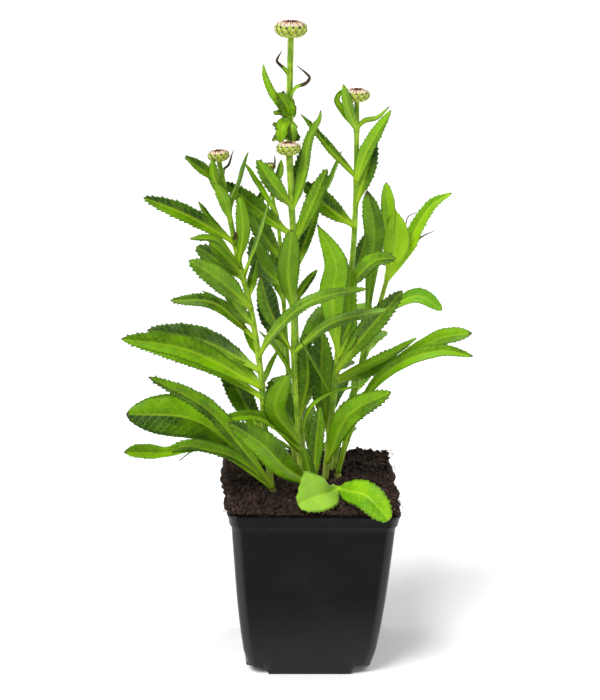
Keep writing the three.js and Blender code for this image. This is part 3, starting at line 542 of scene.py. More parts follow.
shoots["stem_left"] = {"radii": (2.1, 1.6), "leaves": [
    (316, "blade", 8, 0.6, 0.45, (-69, 327.5, -20), (-77.5, 334.5, -24)),
    (318, "thread", 1.8, 0.5, 0.4, (-53, 326, -9), (-50, 329.5, -8), (-47, 339, -5)),
    (308, "strap", 7, -0.9, 0.6, (-59, 320, -20), (-60.5, 333, -21)),
    (279, "blade", 10.5, 0.75, 0.35, (-75, 296.5, -22), (-103.5, 309, -20)),
    (277, "strap", 6, 0.3, 0.25, (-60, 290.5, -2), (-69.5, 306, 2)),
    (262, "strap", 7, 0.4, 0.45, (-58, 280, -24), (-75, 282, -34)),
    (256, "blade", 12, 0.8, 0.2, (-58, 268, -4), (-71, 277, 4)),
    (258, "blade", 8.5, 0.9, 0.5, (-53, 270, -16), (-63, 280, -18)),
    (266, "blade", 8.5, -0.9, 0.8, (-41.5, 287, -22), (-43.5, 309, -26)),
    (300, "strap", 6.5, 0.4, 0.25, (-43, 318, -16), (-38, 337, -20)),
    (236, "blade", 14, 0.85, 0.5, (-57, 255, -26), (-76, 268, -34)),
    (230, "strap", 5, 0.2, 0.3, (-54, 239, 2), (-68, 248, 6)),
    (224, "blade", 8.5, 0.9, 0.3, (-46, 236, -16), (-52, 247, -14)),
    (256, "strap", 5.5, 0.5, 0.6, (-31, 284, -19), (-24, 310, -30)),
    (215, "blade", 8.5, 0.75, 0.25, (-60, 239.5, -8), (-88, 242, -4)),
    (203, "blade", 8.5, 0.6, 0.3, (-24, 217.5, -32), (-8, 234, -40), (10, 243, -38), (37, 248, -32)),
    (194, "blade", 16, 0.6, 0.2, (-66, 214.5, 5), (-103, 222.5, 9)),
    (183, "blade", 15.5, 0.75, 0.45, (-76, 208.5, -22), (-119.5, 217, -28)),
    (176, "blade", 11.5, 0.9, 0.75, (-62, 198, -6), (-93, 210.5, -6), (-116, 215.5, -8)),
    (146, "blade", 15, 0.9, 0.2, (-41.5, 172, -3), (-56, 206, 0)),
    (270, "thread", 2.4, 0, 0.4, (-47, 278, -6), (-48.5, 286.2, -4)),
    (244, "strap", 6, 0.8, 0.45, (-35.5, 256, -6), (-33, 268, -8)),
    (184, "strap", 3.5, 0.5, 0.45, (-25, 198, 8), (-19, 210, 14)),
    (293, "blade", 8, 0.8, 0.65, (-53, 306, -17), (-59, 318, -19)),
    (279, "thread", 3.6, 0.8, 0.2, (-46, 284, -20), (-47, 287, -21)),
    (184, "blade", 8, 0.8, 0.4, (-40, 193, -12), (-50, 202, -15)),
    (204, "strap", 6, 0.7, 0.4, (-37, 214, -12), (-42, 224, -13)),
], "route": [(-23, 98, -16), (-29, 160, -16), (-31, 192, -15), (-37, 235, -13), (-45.5, 272, -12),
             (-56.2, 332, -12)]}
shoots["stem_right"] = {"radii": (2.1, 1.65), "leaves": [
    (350, "strap", 7, 0.7, 0.55, (24.2, 363, -9), (20.8, 379, -13)),
    (352, "hook", 5.6, 0.7, 0.6, (21, 362, -9), (16.5, 369, -11), (20, 375, -10), (24, 372.5, -10)),
    (351, "hook", 3.6, 0.6, 0.5, (34, 356, -2), (42, 358, -3), (49.5, 365, -3)),
    (303, "blade", 10.5, 0.85, 0.25, (35, 322, -2), (40.5, 345, -4)),
    (320, "strap", 6, 0.6, 0.3, (13, 337.5, 1), (-5.5, 360.5, 3)),
    (289, "blade", 13, 0.85, 0.3, (12, 301, 4), (-4, 317, 6)),
    (253, "blade", 8.5, 0.8, 0.2, (32, 268, 9), (36, 284, 12)),
    (249, "blade", 11, 0.7, 0.3, (33, 259, -12), (42, 266.5, -18), (54.5, 267.5, -24)),
    (206, "lance", 16.5, 0.9, 0.7, (15.5, 228, -9), (14.5, 246, -12), (16.5, 265, -14), (4.8, 290.5, -14)),
    (210, "blade", 10, 0.7, 0.7, (25, 232, -6), (26, 262, -7)),
    (193, "blade", 13, 0.8, 0.3, (34.5, 217, -8), (59, 246.5, -10)),
    (186, "blade", 10.5, 0.9, 0.25, (30, 191.5, 9), (42, 197, 14.5), (58, 208.5, 16)),
    (176, "blade", 7.5, 0.4, 0.35, (4, 196, -17), (-5, 213, -29)),
    (150, "blade", 16, 0.9, 0.2, (8, 184, 8), (8, 220, 13)),
    (188, "strap", 6.5, 0.5, 0.7, (50, 203.5, 13), (68.5, 215, 15)),
    (132, "blade", 15, 0.8, 0.5, (25, 163, -10), (52.5, 179, -16)),
    (203, "blade", 12, 0.85, 0.45, (24, 215, -4), (27, 231, -5)),
    (318, "strap", 8.5, 0.8, 0.65, (35.5, 336.5, -6), (50.5, 362.5, -9)),
], "route": [(9, 106, 0), (13, 150, 0), (16.5, 185, 0), (19, 212, 0), (26.5, 262, 0), (29, 310, 0),
             (29.2, 368.8, -2)]}
shoots["shoot_right"] = {"radii": (2, 1.5), "leaves": [
    (260, "paddle", 9, 0.95, 0.6, (50, 288, 27), (47.8, 317, 26)),
    (256, "lance", 17.5, 0.9, 0.75, (54.5, 276, 27), (54, 299, 25)),
    (254, "strap", 9, 0.85, 0.5, (62.5, 276, 29), (67.5, 288, 30), (77, 302.5, 31), (89, 309.5, 32)),
    (222, "paddle", 10, 0.7, 0, (56, 237.5, 22), (70, 242.5, 18), (84.5, 233, 14)),
    (259, "thread", 1.5, 0.2, 0.5, (60, 288, 34), (62, 294.5, 36), (67.5, 297.5, 36)),
    (258, "thread", 1.5, 0.2, 0.5, (68, 279, 42), (80, 286, 46)),
    (215, "blade", 11, 0.2, 0.1, (36, 230, 56), (30, 238, 92)),
    (204, "blade", 11.5, 0.1, 0.1, (40, 214, 52), (48, 220, 84)),
    (176, "blade", 12, 0.1, 0.1, (33, 188, 54), (35, 194, 88)),
], "route": [(12, 110, 10), (20, 150, 16), (31.5, 190, 24), (40, 220, 28), (51, 262, 30)]}
shoots["stem_rear"] = {"radii": (1.9, 1.1), "leaves": [
    (314, "strap", 5, 0.6, 0.5, (-18.5, 323, 22), (-17.5, 332, 22)),
    (320, "thread", 1.8, 0.4, 0.5, (-21.5, 330, 15), (-22, 335, 14)),
    (296, "strap", 5, 0.4, 0.35, (-30, 312, 28), (-41, 331, 30)),
    (288, "strap", 6.5, 0.7, 0.3, (-31, 302, 33), (-28, 314, 36)),
    (268, "blade", 12, 0.8, 0.25, (-30, 286, 22), (-38, 302, 20)),
    (250, "blade", 14, 0.8, 0.3, (-30, 264, 17), (-36, 283, 14)),
    (240, "blade", 9, 0.7, 0.2, (-22, 260, 34), (-21, 277, 38)),
    (212, "blade", 12, 0.8, 0.2, (-25, 228, 18), (-31, 249, 14)),
    (196, "blade", 10, 0.1, 0.35, (-24, 222, 52), (-29, 232, 90)),
    (158, "blade", 12.5, 0.1, 0.4, (-16, 180, 54), (-22, 190, 92)),
], "route": [(-8, 112, 20), (-14, 200, 26), (-19, 285, 24), (-22.5, 305, 22), (-24.5, 326, 20)]}

# Tufts of leaves that rise from a crown at soil level, with the same leaf rows but no height
tufts = {}
tufts["basal_left"] = {"crown": (-26, -23), "leaves": [
    ("blade", 12, 0.6, 0.35, (-41, 138, -32), (-66, 169, -38), (-103, 191.5, -44)),
    ("paddle", 27, 0.9, 0.35, (-48, 142, -14), (-76, 163, -18), (-117.5, 166.5, -20)),
    ("stalked", 10, 0.7, 0.65, (-50, 134, -24), (-68, 141.5, -30), (-94, 139.5, -36), (-119.5, 140.5, -42)),
    ("strap", 4.5, 0.1, 0.3, (-56, 139, -8), (-73, 141, -8), (-84.5, 134, -8)),
    ("blade", 9, 0.5, 0.3, (-42, 131, -22), (-56, 138.5, -26), (-77, 144, -30), (-95, 140, -34)),
]}
tufts["basal_front"] = {"crown": (1, -21), "leaves": [
    ("blade", 17, 0.9, 0.35, (-16, 129, -34), (-31, 145, -42), (-52, 160, -50)),
    ("strap", 7, -0.8, 0.2, (1, 121, -26), (-4, 143, -30)),
    ("blade", 10, 0.6, 0.3, (4, 141, -18), (7, 170, -20)),
]}
tufts["basal_right"] = {"crown": (18, 4), "leaves": [
    ("paddle", 9, 0.75, 0.65, (26, 152, 6), (40, 182, 3), (60, 199, -5), (84, 206, -8), (105, 202, -12)),
    ("stalked", 10.5, 0.75, 0.6, (27, 152, 12), (42, 188, 10), (60, 203, 6), (84, 214.5, 2),
     (104, 217.5, -2)),
    ("stalked", 13, 0.85, 0.42, (26, 160, 11), (34.5, 210, 16), (38.5, 250, 18), (41, 285, 18),
     (36, 312, 16)),
]}
tufts["basal_rear"] = {"crown": (2, 25), "leaves": [
    ("paddle", 20, 0, 0.35, (-4, 158, 56), (-8, 168, 100)),
    ("paddle", 18, 0, 0.4, (13, 172, 42), (20, 190, 76)),
    ("paddle", 18, 0, 0.3, (-30, 150, 52), (-50, 156, 86)),
    ("paddle", 17, 0, 0.45, (19, 150, 54), (25, 156, 88)),
]}
tufts["young_leaves"] = {"crown": (16.5, -21), "leaves": [
    ("mitten", 20, 0.95, 0.5, (11, 110, -43), (2, 106.5, -49), (-8, 102.5, -53)),
    ("oval", 17.5, 0.9, 0.2, (25, 111.5, -40), (38, 107, -52), (52.5, 90, -62)),
]}

leafMake = {
    "seed": 41, "tuftSeed": 61, "columns": (-1, -0.8, -0.55, -0.3, -0.1, 0, 0.1, 0.3, 0.55, 0.8, 1),
    # rows: gaps between them where there are teeth and where there are none, and the last as a share
    "toothGap": 0.46, "stalkGap": 2.2, "fewest": 3, "plainRows": 24, "last": 0.9985,
    # teeth: pitch, how much finer they are on a narrow leaf, depth, and the most as a share of the width
    "pitch": 3.0, "finer": 0.8, "narrow": 9, "depth": 1.45, "deepest": 0.13, "rise": 0.8, "forward": 0.8,
    # outline: the foot's most half width and its taper, how round the tip is, a lobe and the waist under it
    "foot": 2.2, "taper": 0.7, "tip": 0.012, "lobeAt": (0.78, 0.15), "waistAt": (0.32, 0.14),
    "thickness": 0.5, "rib": 0.9, "ribWidth": 11, "fold": 0.42, "folds": (0.4, 1.6), "droop": (0, 1.6),
    "waveLength": (13, 20), "upright": 3, "twistAt": 0.35,
    # halves: how much lighter one half of a leaf is painted than the other, as painted light across its fold
    "veinGap": 5.2, "contrast": 1.5, "middleTone": 0.42, "halves": (0.1, 0.26), "bloom": 0.3,
    "margin": (0.35, 0.9),
}


def halfWidth(kind, width, a):
    # half the width at the shares a: sin(pi * a^p)^full, where p puts its peak at the widest place, joined by
    # fourth powers with a foot that tapers and ends in a rounded tip
    make = leafMake
    full = np.where(a > kind["widest"], kind["full"] * kind["blunt"], kind["full"])
    blade = width / 2 * np.sin(np.pi * a ** (math.log(0.5) / math.log(kind["widest"]))).clip(0) ** full
    foot = np.minimum(width / 2 * kind["foot"], make["foot"]) * (1 - a * make["taper"])
    tip = np.sqrt(np.clip((1 - a) / make["tip"], 0.05, 1))
    return (blade ** 4 + (foot * tip) ** 4) ** 0.25, foot


def teethAt(kind, width, length, a, offset):
    # saw teeth that lean towards the tip: a slow rise and a quick fall once every pitch, of uneven depth,
    # fading in and out where the teeth begin and end
    make, start, end = leafMake, kind["start"], kind["end"]
    if end <= start:
        return 0 * a
    pitch = make["pitch"] * (make["finer"] if width < make["narrow"] else 1) * kind["ragged"]
    phase = (a - start) * length / pitch + offset
    part = phase - np.floor(phase)
    tooth = np.where(part < make["rise"], (part / make["rise"]) ** 1.6, (1 - part) / (1 - make["rise"]))
    uneven = 0.75 + 0.25 * np.sin(np.floor(phase) * 2.4 + offset * 9)
    inside = softStep(a, start, start + 0.1) * (1 - softStep(a, end - 0.02, end))
    return tooth * uneven * inside * min(make["depth"], make["deepest"] * width) * kind["bite"]


def leafCourse(kind, foot, points, turn, rng):
    # The midrib and the blade's faces along it, in rows that are close where it has teeth. A face looks
    # part way from that of a level blade to the eye, by the turn, and twists evenly round the midrib.
    make = leafMake
    ends = [foot] + [seen(p) for p in points]
    route = smoothRoute(ends)
    length, start = runOf(route)[-1], kind["start"]
    plain = max(make["fewest"], round(start * length / make["stalkGap"]))
    shares = np.linspace(0, make["last"], plain + make["plainRows"])
    if start < 1:
        toothed = round((1 - start) * length / make["toothGap"])
        shares = np.concatenate([np.linspace(0, start, plain, endpoint=False),
                                 np.linspace(start, make["last"], toothed)])
    place, forward = alongRoute(route, shares)
    level = (ends[-1] - foot) * (1, 1, 0)
    if np.linalg.norm(level) < make["upright"]:
        level = np.array([0.0, -1.0, 0.0])
    upper = unit(np.cross(np.cross(unit(level), [0, 0, 1]), forward))
    toEye = unit(eye - place)
    toEye = unit(toEye - forward * (toEye * forward).sum(1, keepdims=True))
    facing = unit(upper * (1 - abs(turn)) + toEye * turn)
    side = unit(np.cross(forward, facing))
    twist = rng.uniform(-1, 1) * kind["twist"] * (shares - make["twistAt"])[:, None]
    return (length, shares[:, None], place, forward, facing * np.cos(twist) + side * np.sin(twist),
            side * np.cos(twist) - facing * np.sin(twist))


def leafSkin(foot, row, rng):
    # Each row of a blade is a thin closed section over its upper face and back under it, in columns c from
    # -1 to 1. A point lies half * c and its tooth to the side, fold * half * |c| less a droop plus a ripple
    # above the midrib, and half the thickness over or under that. Teeth also reach forward.
    (shape, extra), (width, turn, tone, *points), make = leafKinds[row[0]], row[1:], leafMake
    kind = {**plainLeaf, **dict(zip(leafShape, shape)), **extra}
    length, a, place, forward, facing, side = leafCourse(kind, foot, points, turn, rng)
    columns = np.array(make["columns"])
    c = np.concatenate([columns[:-1], columns[:0:-1]])[None, :]
    top = (np.arange(c.size) < len(columns) - 1)[None, :]
    far, edge = np.abs(c), np.abs(c) ** 6
    half, footHalf = halfWidth(kind, width, a)
    left, right = (teethAt(kind, width, length, a, offset) for offset in rng.uniform(0, 1, 2))
    tooth = np.where(c < 0, left, right) * edge
    lobe = bell(a, *make["lobeAt"]) - 0.55 * bell(a, *make["waistAt"])
    half = half * (1 + kind["lobe"] * lobe * (c > 0))
    out = far * half
    waves = length / rng.uniform(*make["waveLength"])
    phases = rng.uniform(0, 2 * np.pi, 2)
    ripple = np.sin(2 * np.pi * waves * a + np.where(c < 0, phases[0], phases[1]))
    ripple *= kind["wave"] * far ** 2 * np.minimum(half, 6) * softStep(a, 0.08, 0.3)
    fold = make["fold"] * rng.uniform(*make["folds"])
    lift = fold * out - 0.1 * far ** 2 * out * rng.uniform(*make["droop"]) + ripple
    stalk = np.clip(1.6 - half / np.maximum(footHalf, 0.3) * 0.6, 0, 1) * (1 - a)
    thick = (make["thickness"] + 1.5 * stalk * footHalf) * np.sqrt(1 - c ** 2 * 0.93) / 2
    rib = make["rib"] * min(1, width / make["ribWidth"]) * bell(out, 0, 0.6 - 0.25 * a) * (1 - 0.85 * a)
    lift = lift + np.where(top, thick - rib * 0.32 * (1 - stalk), -thick - rib * 0.8)
    grid = place[:, None] + sum(way[:, None] * amount[..., None] for way, amount in (
        (side, half * c + np.sign(c) * tooth), (facing, lift), (forward, tooth * make["forward"])))
    shade = 0.5 + (tone - make["middleTone"]) * make["contrast"] + rng.uniform(-0.1, 0.1)
    dryFrom, dryTo, dryness = kind["dry"]
    layers = {
        # paler towards the foot, with painted shade in the dip beside the midrib, and one half painted
        # lighter than the other, as if light fell on it across its fold
        "tone": (shade + 0.45 * (1 - a) ** 2.5 - 0.12 * bell(out, 1.5, 0.9)
                 + rng.uniform(*make["halves"]) * rng.choice([-1, 1]) * np.sign(c)),
        "rib": np.maximum(bell(out, 0, 0.35 + 0.8 * (1 - a) ** 1.5) * (1 - 0.6 * a), 0.75 * stalk),
        "vein": (a * length - out * 0.95) / make["veinGap"] + (c > 0) * 0.5,
        "margin": np.maximum(far ** 10 * rng.uniform(*make["margin"]), tooth / make["depth"]),
        "upper": top * 1.0,
        # a pale bloom, partly the leaf's own and partly a painted sheen
        "bloom": kind.get("bloom", rng.uniform(0, 1) ** 3 * make["bloom"]),
        "dry": softStep(a, dryFrom, dryTo) * dryness + kind["dryEdge"] * edge,
    }
    return closedSkin(grid, layers)


stemMake = {"around": 24, "gap": 1.5, "ribs": 8, "ribDepth": 0.07, "node": 0.08, "nodeLength": 2.2}


def rodSkin(shoot, route):
    # a ribbed rod along its route: its radius runs from foot to top, swells a little where each leaf leaves
    # it, and dips by half a cosine in each groove
    make = stemMake
    shares = np.linspace(0, 1, int(runOf(route)[-1] / make["gap"]))
    place, forward = alongRoute(route, shares)
    sideways = unit(np.cross([0.0, 1.0, 0.0], forward))
    outward = np.cross(forward, sideways)
    radius = shoot["radii"][0] + (shoot["radii"][1] - shoot["radii"][0]) * shares
    for row in shoot["leaves"]:
        joint = pointAt(route, row[0])[2]
        radius = radius * (1 + make["node"] * bell(place[:, 2], joint, make["nodeLength"]))
    angle = roundAngles(make["around"])
    groove = 0.5 - 0.5 * np.cos(make["ribs"] * angle)
    reach = radius[:, None] * (1 - make["ribDepth"] * groove)
    grid = (place[:, None] + sideways[:, None] * (reach * np.cos(angle))[..., None]
            + outward[:, None] * (reach * np.sin(angle))[..., None])
    return closedSkin(grid, {"groove": groove, "along": shares[:, None]}, 1)


# The broad shape of the peat's top. A clod is a slow wave: its height, then a sine of x and y and a cosine of
# them, each as (x, y, shift).
peatTop = {
    "level": 115.5, "mound": 5.5, "half": 55.0, "crownRise": 3.0,
    "clods": ((1.1, (0.19, 0, 1.3), (0, 0.23, -0.4)), (0.8, (0.47, -0.31, 0.8), (0.17, 0.53, 0))),
}


def peatHeight(x, y):
    # level with the rim in front, higher in the middle and at the back, with slow clods
    half = peatTop["half"]
    backward = np.clip((y + half) / (2 * half), 0, 1)
    inward = 1 - np.maximum(np.abs(x), np.abs(y)) / half
    clods = sum(size * np.sin(x * a + y * b + c) * np.cos(x * d + y * e + f)
                for size, (a, b, c), (d, e, f) in peatTop["clods"])
    return peatTop["level"] + clods + peatTop["mound"] * (0.45 * np.minimum(1, inward * 2) + 0.75 * backward)


stockMake = {"radius": 2.752, "length": 13.0, "top": 0.6, "around": 22, "rows": 14, "lumps": 0.12}


def stockSkin(foot, rng):
    # the short stock that a tuft springs from: a lumpy peg, scarred by old leaves, drier further down
    make = stockMake
    angle, down = roundAngles(make["around"]), np.linspace(0, 1, make["rows"])[:, None]
    lumps = 1 + make["lumps"] * np.sin(3 * angle + 9 * down + rng.uniform(0, 6))
    reach = make["radius"] * np.sqrt(np.clip(down * 6, 0.08, 1)) * lumps
    grid = np.stack([foot[0] + reach * np.cos(angle), foot[1] + reach * np.sin(angle),
                     foot[2] + make["top"] - down * make["length"] + 0 * angle], -1)
    return closedSkin(grid, {"groove": 0.6, "dry": 0.45 + 0.45 * down}, 1)


def makeGrowth(name, parts):
    bright = name in ("shoot_right", "young_leaves")
    makePiece(name + "_growth", parts, [youngFoliage if bright else foliage, stemSkin],
              "foliage_bright" if bright else "foliage", name)


for index, (name, shoot) in enumerate(shoots.items()):
    rng = np.random.default_rng(leafMake["seed"] + index)
    route = smoothRoute([seen(p) for p in shoot["route"]])
    leaves = [leafSkin(pointAt(route, row[0]), row[1:], rng) for row in shoot["leaves"]]
    makeGrowth(name, leaves + [rodSkin(shoot, route)])
for index, (name, tuft) in enumerate(tufts.items()):
    rng = np.random.default_rng(leafMake["tuftSeed"] + index)
    x, y = tuft["crown"]
    foot = np.array([x, y, peatHeight(x, y) + peatTop["crownRise"]])
    leaves = [leafSkin(foot, row, rng) for row in tuft["leaves"]]
    makeGrowth(name, leaves + [stockSkin(foot, rng)])
print("shoots and tufts ready")

# Flower heads: the shoot that each one closes, its width and height, the bracts in a row and the florets
headShape = ("stem", "width", "height", "bracts", "rays")
heads = {
    "bud_tall": ("stem_tall", 19.4, 11.0, 14, 24),
    "bud_front": ("stem_front", 14.6, 8.6, 12, 20),
    "bud_left": ("stem_left", 12.8, 7.4, 11, 18),
    "bud_right": ("stem_right", 15.0, 8.4, 12, 20),
    "bud_rear": ("stem_rear", 6.4, 4.6, 9, 0),
}
headMake = {
    "seed": 7, "shoulder": 0.72, "crown": 0.82, "foot": 0.42, "gap": 0.3,
    # rows of bracts from the stem upwards, on an open and on a shut head: the polar angles between which they
    # run and how wide they are
    "rows": ((0.45, 1.35, 1.25), (0.72, 1.85, 1.2), (1.05, 2.3, 1.1)),
    "shutRows": ((0.5, 1.5, 1.2), (0.9, 2.2, 1.1), (1.4, 2.8, 1.0)),
    "stand": 0.4, "rowStep": 0.3, "rowTurn": 0.13, "uneven": 0.08, "tip": 0.3,
    # what fills the head under the bracts and under the florets: from, to, rows, points round, depth
    "core": (0.42, 2.2, 14, 32, -0.7), "shutCore": (0.42, 2.9, 14, 32, -0.7),
    "heart": (2.24, 3.0, 6, 24, -1.4),
    # florets: from, to, how uneven their ends are, width, depth of one and of the next, shift
    "rayFrom": 2.0, "rayTo": 2.86, "rayEnds": (-0.14, 0.12), "rayWidth": 0.6, "rayStand": (-0.7, -0.4),
    "rayShift": 0.15,
}
scaleMake = {"rows": 11, "columns": (-1, -0.6, -0.2, 0.2, 0.6, 1, 0.6, 0.2, -0.2, -0.6), "upper": 6,
             "dome": 0.25, "thickness": 0.3, "shift": 0.03, "corner": 0.06}


def bunSurface(head, polar, angle, proud):
    # A flattened bun. Its radius is half its width times sin(polar)^shoulder, its height is half its height
    # times 1 - cos(polar), flatter over the top, and a point stands proud of it along the polar angle.
    radius = head["width"] / 2 * np.sin(polar).clip(0) ** headMake["shoulder"] + proud * np.sin(polar)
    flatter = np.where(polar < np.pi / 2, 1.0, headMake["crown"])
    height = head["height"] / 2 * (1 - np.cos(polar) * flatter) - proud * np.cos(polar)
    return np.stack([radius * np.cos(angle), radius * np.sin(angle), height + 0 * angle], -1)


def fillSkin(head, low, high, rows, around, proud, along):
    # a closed body under the bun's surface between two polar angles
    grid = bunSurface(head, np.linspace(low, high, rows)[:, None], roundAngles(around), proud)
    return closedSkin(grid, {"edge": 1.0, "along": along})


def scaleSkin(head, middle, low, high, spread, proud, rng):
    # one scale that hugs the bun from a low to a high polar angle: an oval outline, domed across, lifting at
    # its tip by the square of the share t, as a thin closed section
    make = scaleMake
    t = np.linspace(0, 1, make["rows"])[:, None]
    c = np.array(make["columns"])[None, :]
    under = np.arange(c.size) >= make["upper"]
    oval = np.sin(np.pi * (0.12 + 0.86 * t) ** 0.9) ** 0.7
    angle = middle + spread * oval * c + rng.uniform(-make["shift"], make["shift"])
    polar = low + (high - low) * (t - make["corner"] * c ** 2 * t)
    stand = (proud + headMake["tip"] * t ** 2 + make["dome"] * (1 - c ** 2)
             - under * make["thickness"] * np.sqrt(1 - c ** 2 * 0.9))
    layers = {"edge": np.maximum(np.abs(c), t ** 4), "along": t}
    return closedSkin(bunSurface(head, polar, angle, stand), layers)


def buildHead(index, name, head):
    # bracts in overlapping rows round a core, then a ring of florets that close over a heart. They are made
    # upright and then turned to the stem's end.
    make, rng = headMake, np.random.default_rng(headMake["seed"] + index)
    route = smoothRoute([seen(p) for p in shoots[head["stem"]]["route"]])
    place, forward = alongRoute(route, np.array([1.0]))
    up = unit(forward[0] + (0, 0, 1))
    sideways = unit(np.cross([0.0, 1.0, 0.0], up))
    turn = np.stack([sideways, np.cross(up, sideways), up])
    seat = place[0] + up * (make["gap"] - head["height"] / 2 * (1 - math.cos(make["foot"])))

    def settled(parts):
        return [{**part, "points": part["points"] @ turn + seat} for part in parts]

    core, rows = (make["core"], make["rows"]) if head["rays"] else (make["shutCore"], make["shutRows"])
    share = 2 * np.pi / head["bracts"]
    parts = [fillSkin(head, *core, 0.2)]
    for number, (low, high, wide) in enumerate(rows):
        for k in range(head["bracts"]):
            middle = share * (k + 0.5 * (number % 2) + make["rowTurn"] * number)
            top = high + rng.uniform(-make["uneven"], make["uneven"])
            stand = make["stand"] - make["rowStep"] * number
            parts.append(scaleSkin(head, middle, low, top, share * wide / 2, stand, rng))
    makePiece(name + "_bracts", settled(parts), [bractSkin], "bracts", name)
    if not head["rays"]:
        return
    share = 2 * np.pi / head["rays"]
    parts = [fillSkin(head, *make["heart"], 1.0)]
    for k in range(head["rays"]):
        middle = share * (k + rng.uniform(-make["rayShift"], make["rayShift"]))
        high = make["rayTo"] + rng.uniform(*make["rayEnds"])
        stand = make["rayStand"][k % 2]
        parts.append(scaleSkin(head, middle, make["rayFrom"], high, share * make["rayWidth"], stand, rng))
    makePiece(name + "_florets", settled(parts), [raySkin], "ray_tips", name + "_rays")


for index, (name, row) in enumerate(heads.items()):
    buildHead(index, name, dict(zip(headShape, row)))
print("flower heads ready")

# The pot: half width and height down its outside, over the rim and down its inside, then its corners, the
# raised corners of its floor and the drain holes in them
potMake = {
    "wall": [(40.4, 0.6), (42.6, 14), (45.6, 35), (48.3, 60), (52.1, 106)],
    "band": [(52.5, 106.2), (53.1, 106.5), (53.4, 107.2), (54.4, 112.8), (54.9, 113.5), (55, 114.3),
             (54.8, 114.9), (54.4, 115.0), (54.0, 114.9), (53.7, 114.5)],
    "inside": [(52.3, 107.6), (51.4, 106.6), (50.7, 105.8), (47, 60), (44.3, 35), (41.3, 14), (39.0, 2.0)],
    "middle": 0.8, "underTo": 39.8, "floorFrom": 38.2, "floor": 1.2, "rows": 40,
    "corner": 7.0, "arcSteps": 12, "sideSteps": 28, "foot": 27.0, "slant": 2.0, "notch": 6.0, "notchTop": 16,
    "drain": 2.2, "drainAt": 33.6, "drainThrough": (3.0, 10.0), "drainSides": 16,
}
cornerSigns = ((1, 1), (-1, 1), (-1, -1), (1, -1))


def squareRound(half):
    # Square outlines with round corners: a quarter arc at each corner, then even steps along the side. The
    # centre of the radius moves from a corner to the next along the side.
    arcSteps, sideSteps = potMake["arcSteps"], potMake["sideSteps"]
    quarter = np.concatenate([np.linspace(0, np.pi / 2, arcSteps), np.full(sideSteps, np.pi / 2)])
    angles = np.concatenate([quarter + k * np.pi / 2 for k in range(4)])
    side = np.concatenate([np.zeros(arcSteps), np.arange(1, sideSteps + 1) / (sideSteps + 1)])
    part = np.tile(side, 4)[:, None]
    here = np.repeat(np.array(cornerSigns), len(side), axis=0)
    centre = here * (1 - part) + np.roll(here, -len(side), axis=0) * part
    half = half[:, None, None]
    radius = np.minimum(potMake["corner"], half * 0.6)
    return centre * (half - radius) + radius * np.stack([np.cos(angles), np.sin(angles)], -1)


def notchAt(x, y):
    # how far the underside is raised at a corner: zero on the cross-shaped foot, then a slant
    past = np.minimum(np.abs(x), np.abs(y)) - potMake["foot"]
    return potMake["notch"] * np.clip(past / potMake["slant"], 0, 1)


def drainCutter():
    # a closed prism through each raised corner of the floor
    radius, sides = potMake["drain"], potMake["drainSides"]
    corners, faces = [], []
    for middle in np.array(cornerSigns) * potMake["drainAt"]:
        low, high = (list(range(len(corners) + k * sides, len(corners) + (k + 1) * sides)) for k in range(2))
        corners += [((middle[0] + radius * math.cos(angle)) * mm, (middle[1] + radius * math.sin(angle)) * mm,
                     z * mm) for z in potMake["drainThrough"] for angle in roundAngles(sides)[0]]
        faces += [*zip(low, low[1:] + low[:1], high[1:] + high[:1], high), low[::-1], high]
    mesh = bpy.data.meshes.new("drains")
    mesh.from_pydata(corners, [], faces)
    return link(bpy.data.objects.new("drains", mesh))


def buildPot():
    # one outline from the middle of the underside over the rim to the middle of the floor, carried round a
    # rounded square, with its corners raised and its drains cut
    make, rows = potMake, potMake["rows"]
    wall, inside = (smoothRoute([(*point, 0) for point in make[part]], rows)[:, :2]
                    for part in ("wall", "inside"))
    under = np.stack([np.linspace(make["middle"], make["underTo"], rows), np.zeros(rows)], 1)
    floor = np.stack([np.linspace(make["floorFrom"], make["middle"], rows), np.full(rows, make["floor"])], 1)
    outline = np.concatenate([under, wall, make["band"], inside, floor])
    shape = squareRound(outline[:, 0])
    z = outline[:, 1][:, None] + 0 * shape[..., 0]
    raised = notchAt(shape[..., 0], shape[..., 1])
    z = np.where(z < make["notchTop"], raised + z * (1 - raised / make["notchTop"]), z)
    skin = closedSkin(np.concatenate([shape, z[..., None]], -1), {})
    pot = makePiece("nursery_pot", [skin], [potPlastic], "pot_plastic", "pot")
    cutter = drainCutter()
    cut = pot.modifiers.new("drains", "BOOLEAN")
    cut.object, cut.operation = cutter, "DIFFERENCE"
    bpy.context.view_layer.update()
    cleared = bpy.data.meshes.new_from_object(pot.evaluated_get(bpy.context.evaluated_depsgraph_get()))
    pot.modifiers.clear()
    pot.data = cleared
    bpy.data.objects.remove(cutter)


buildPot()
print("pot ready")

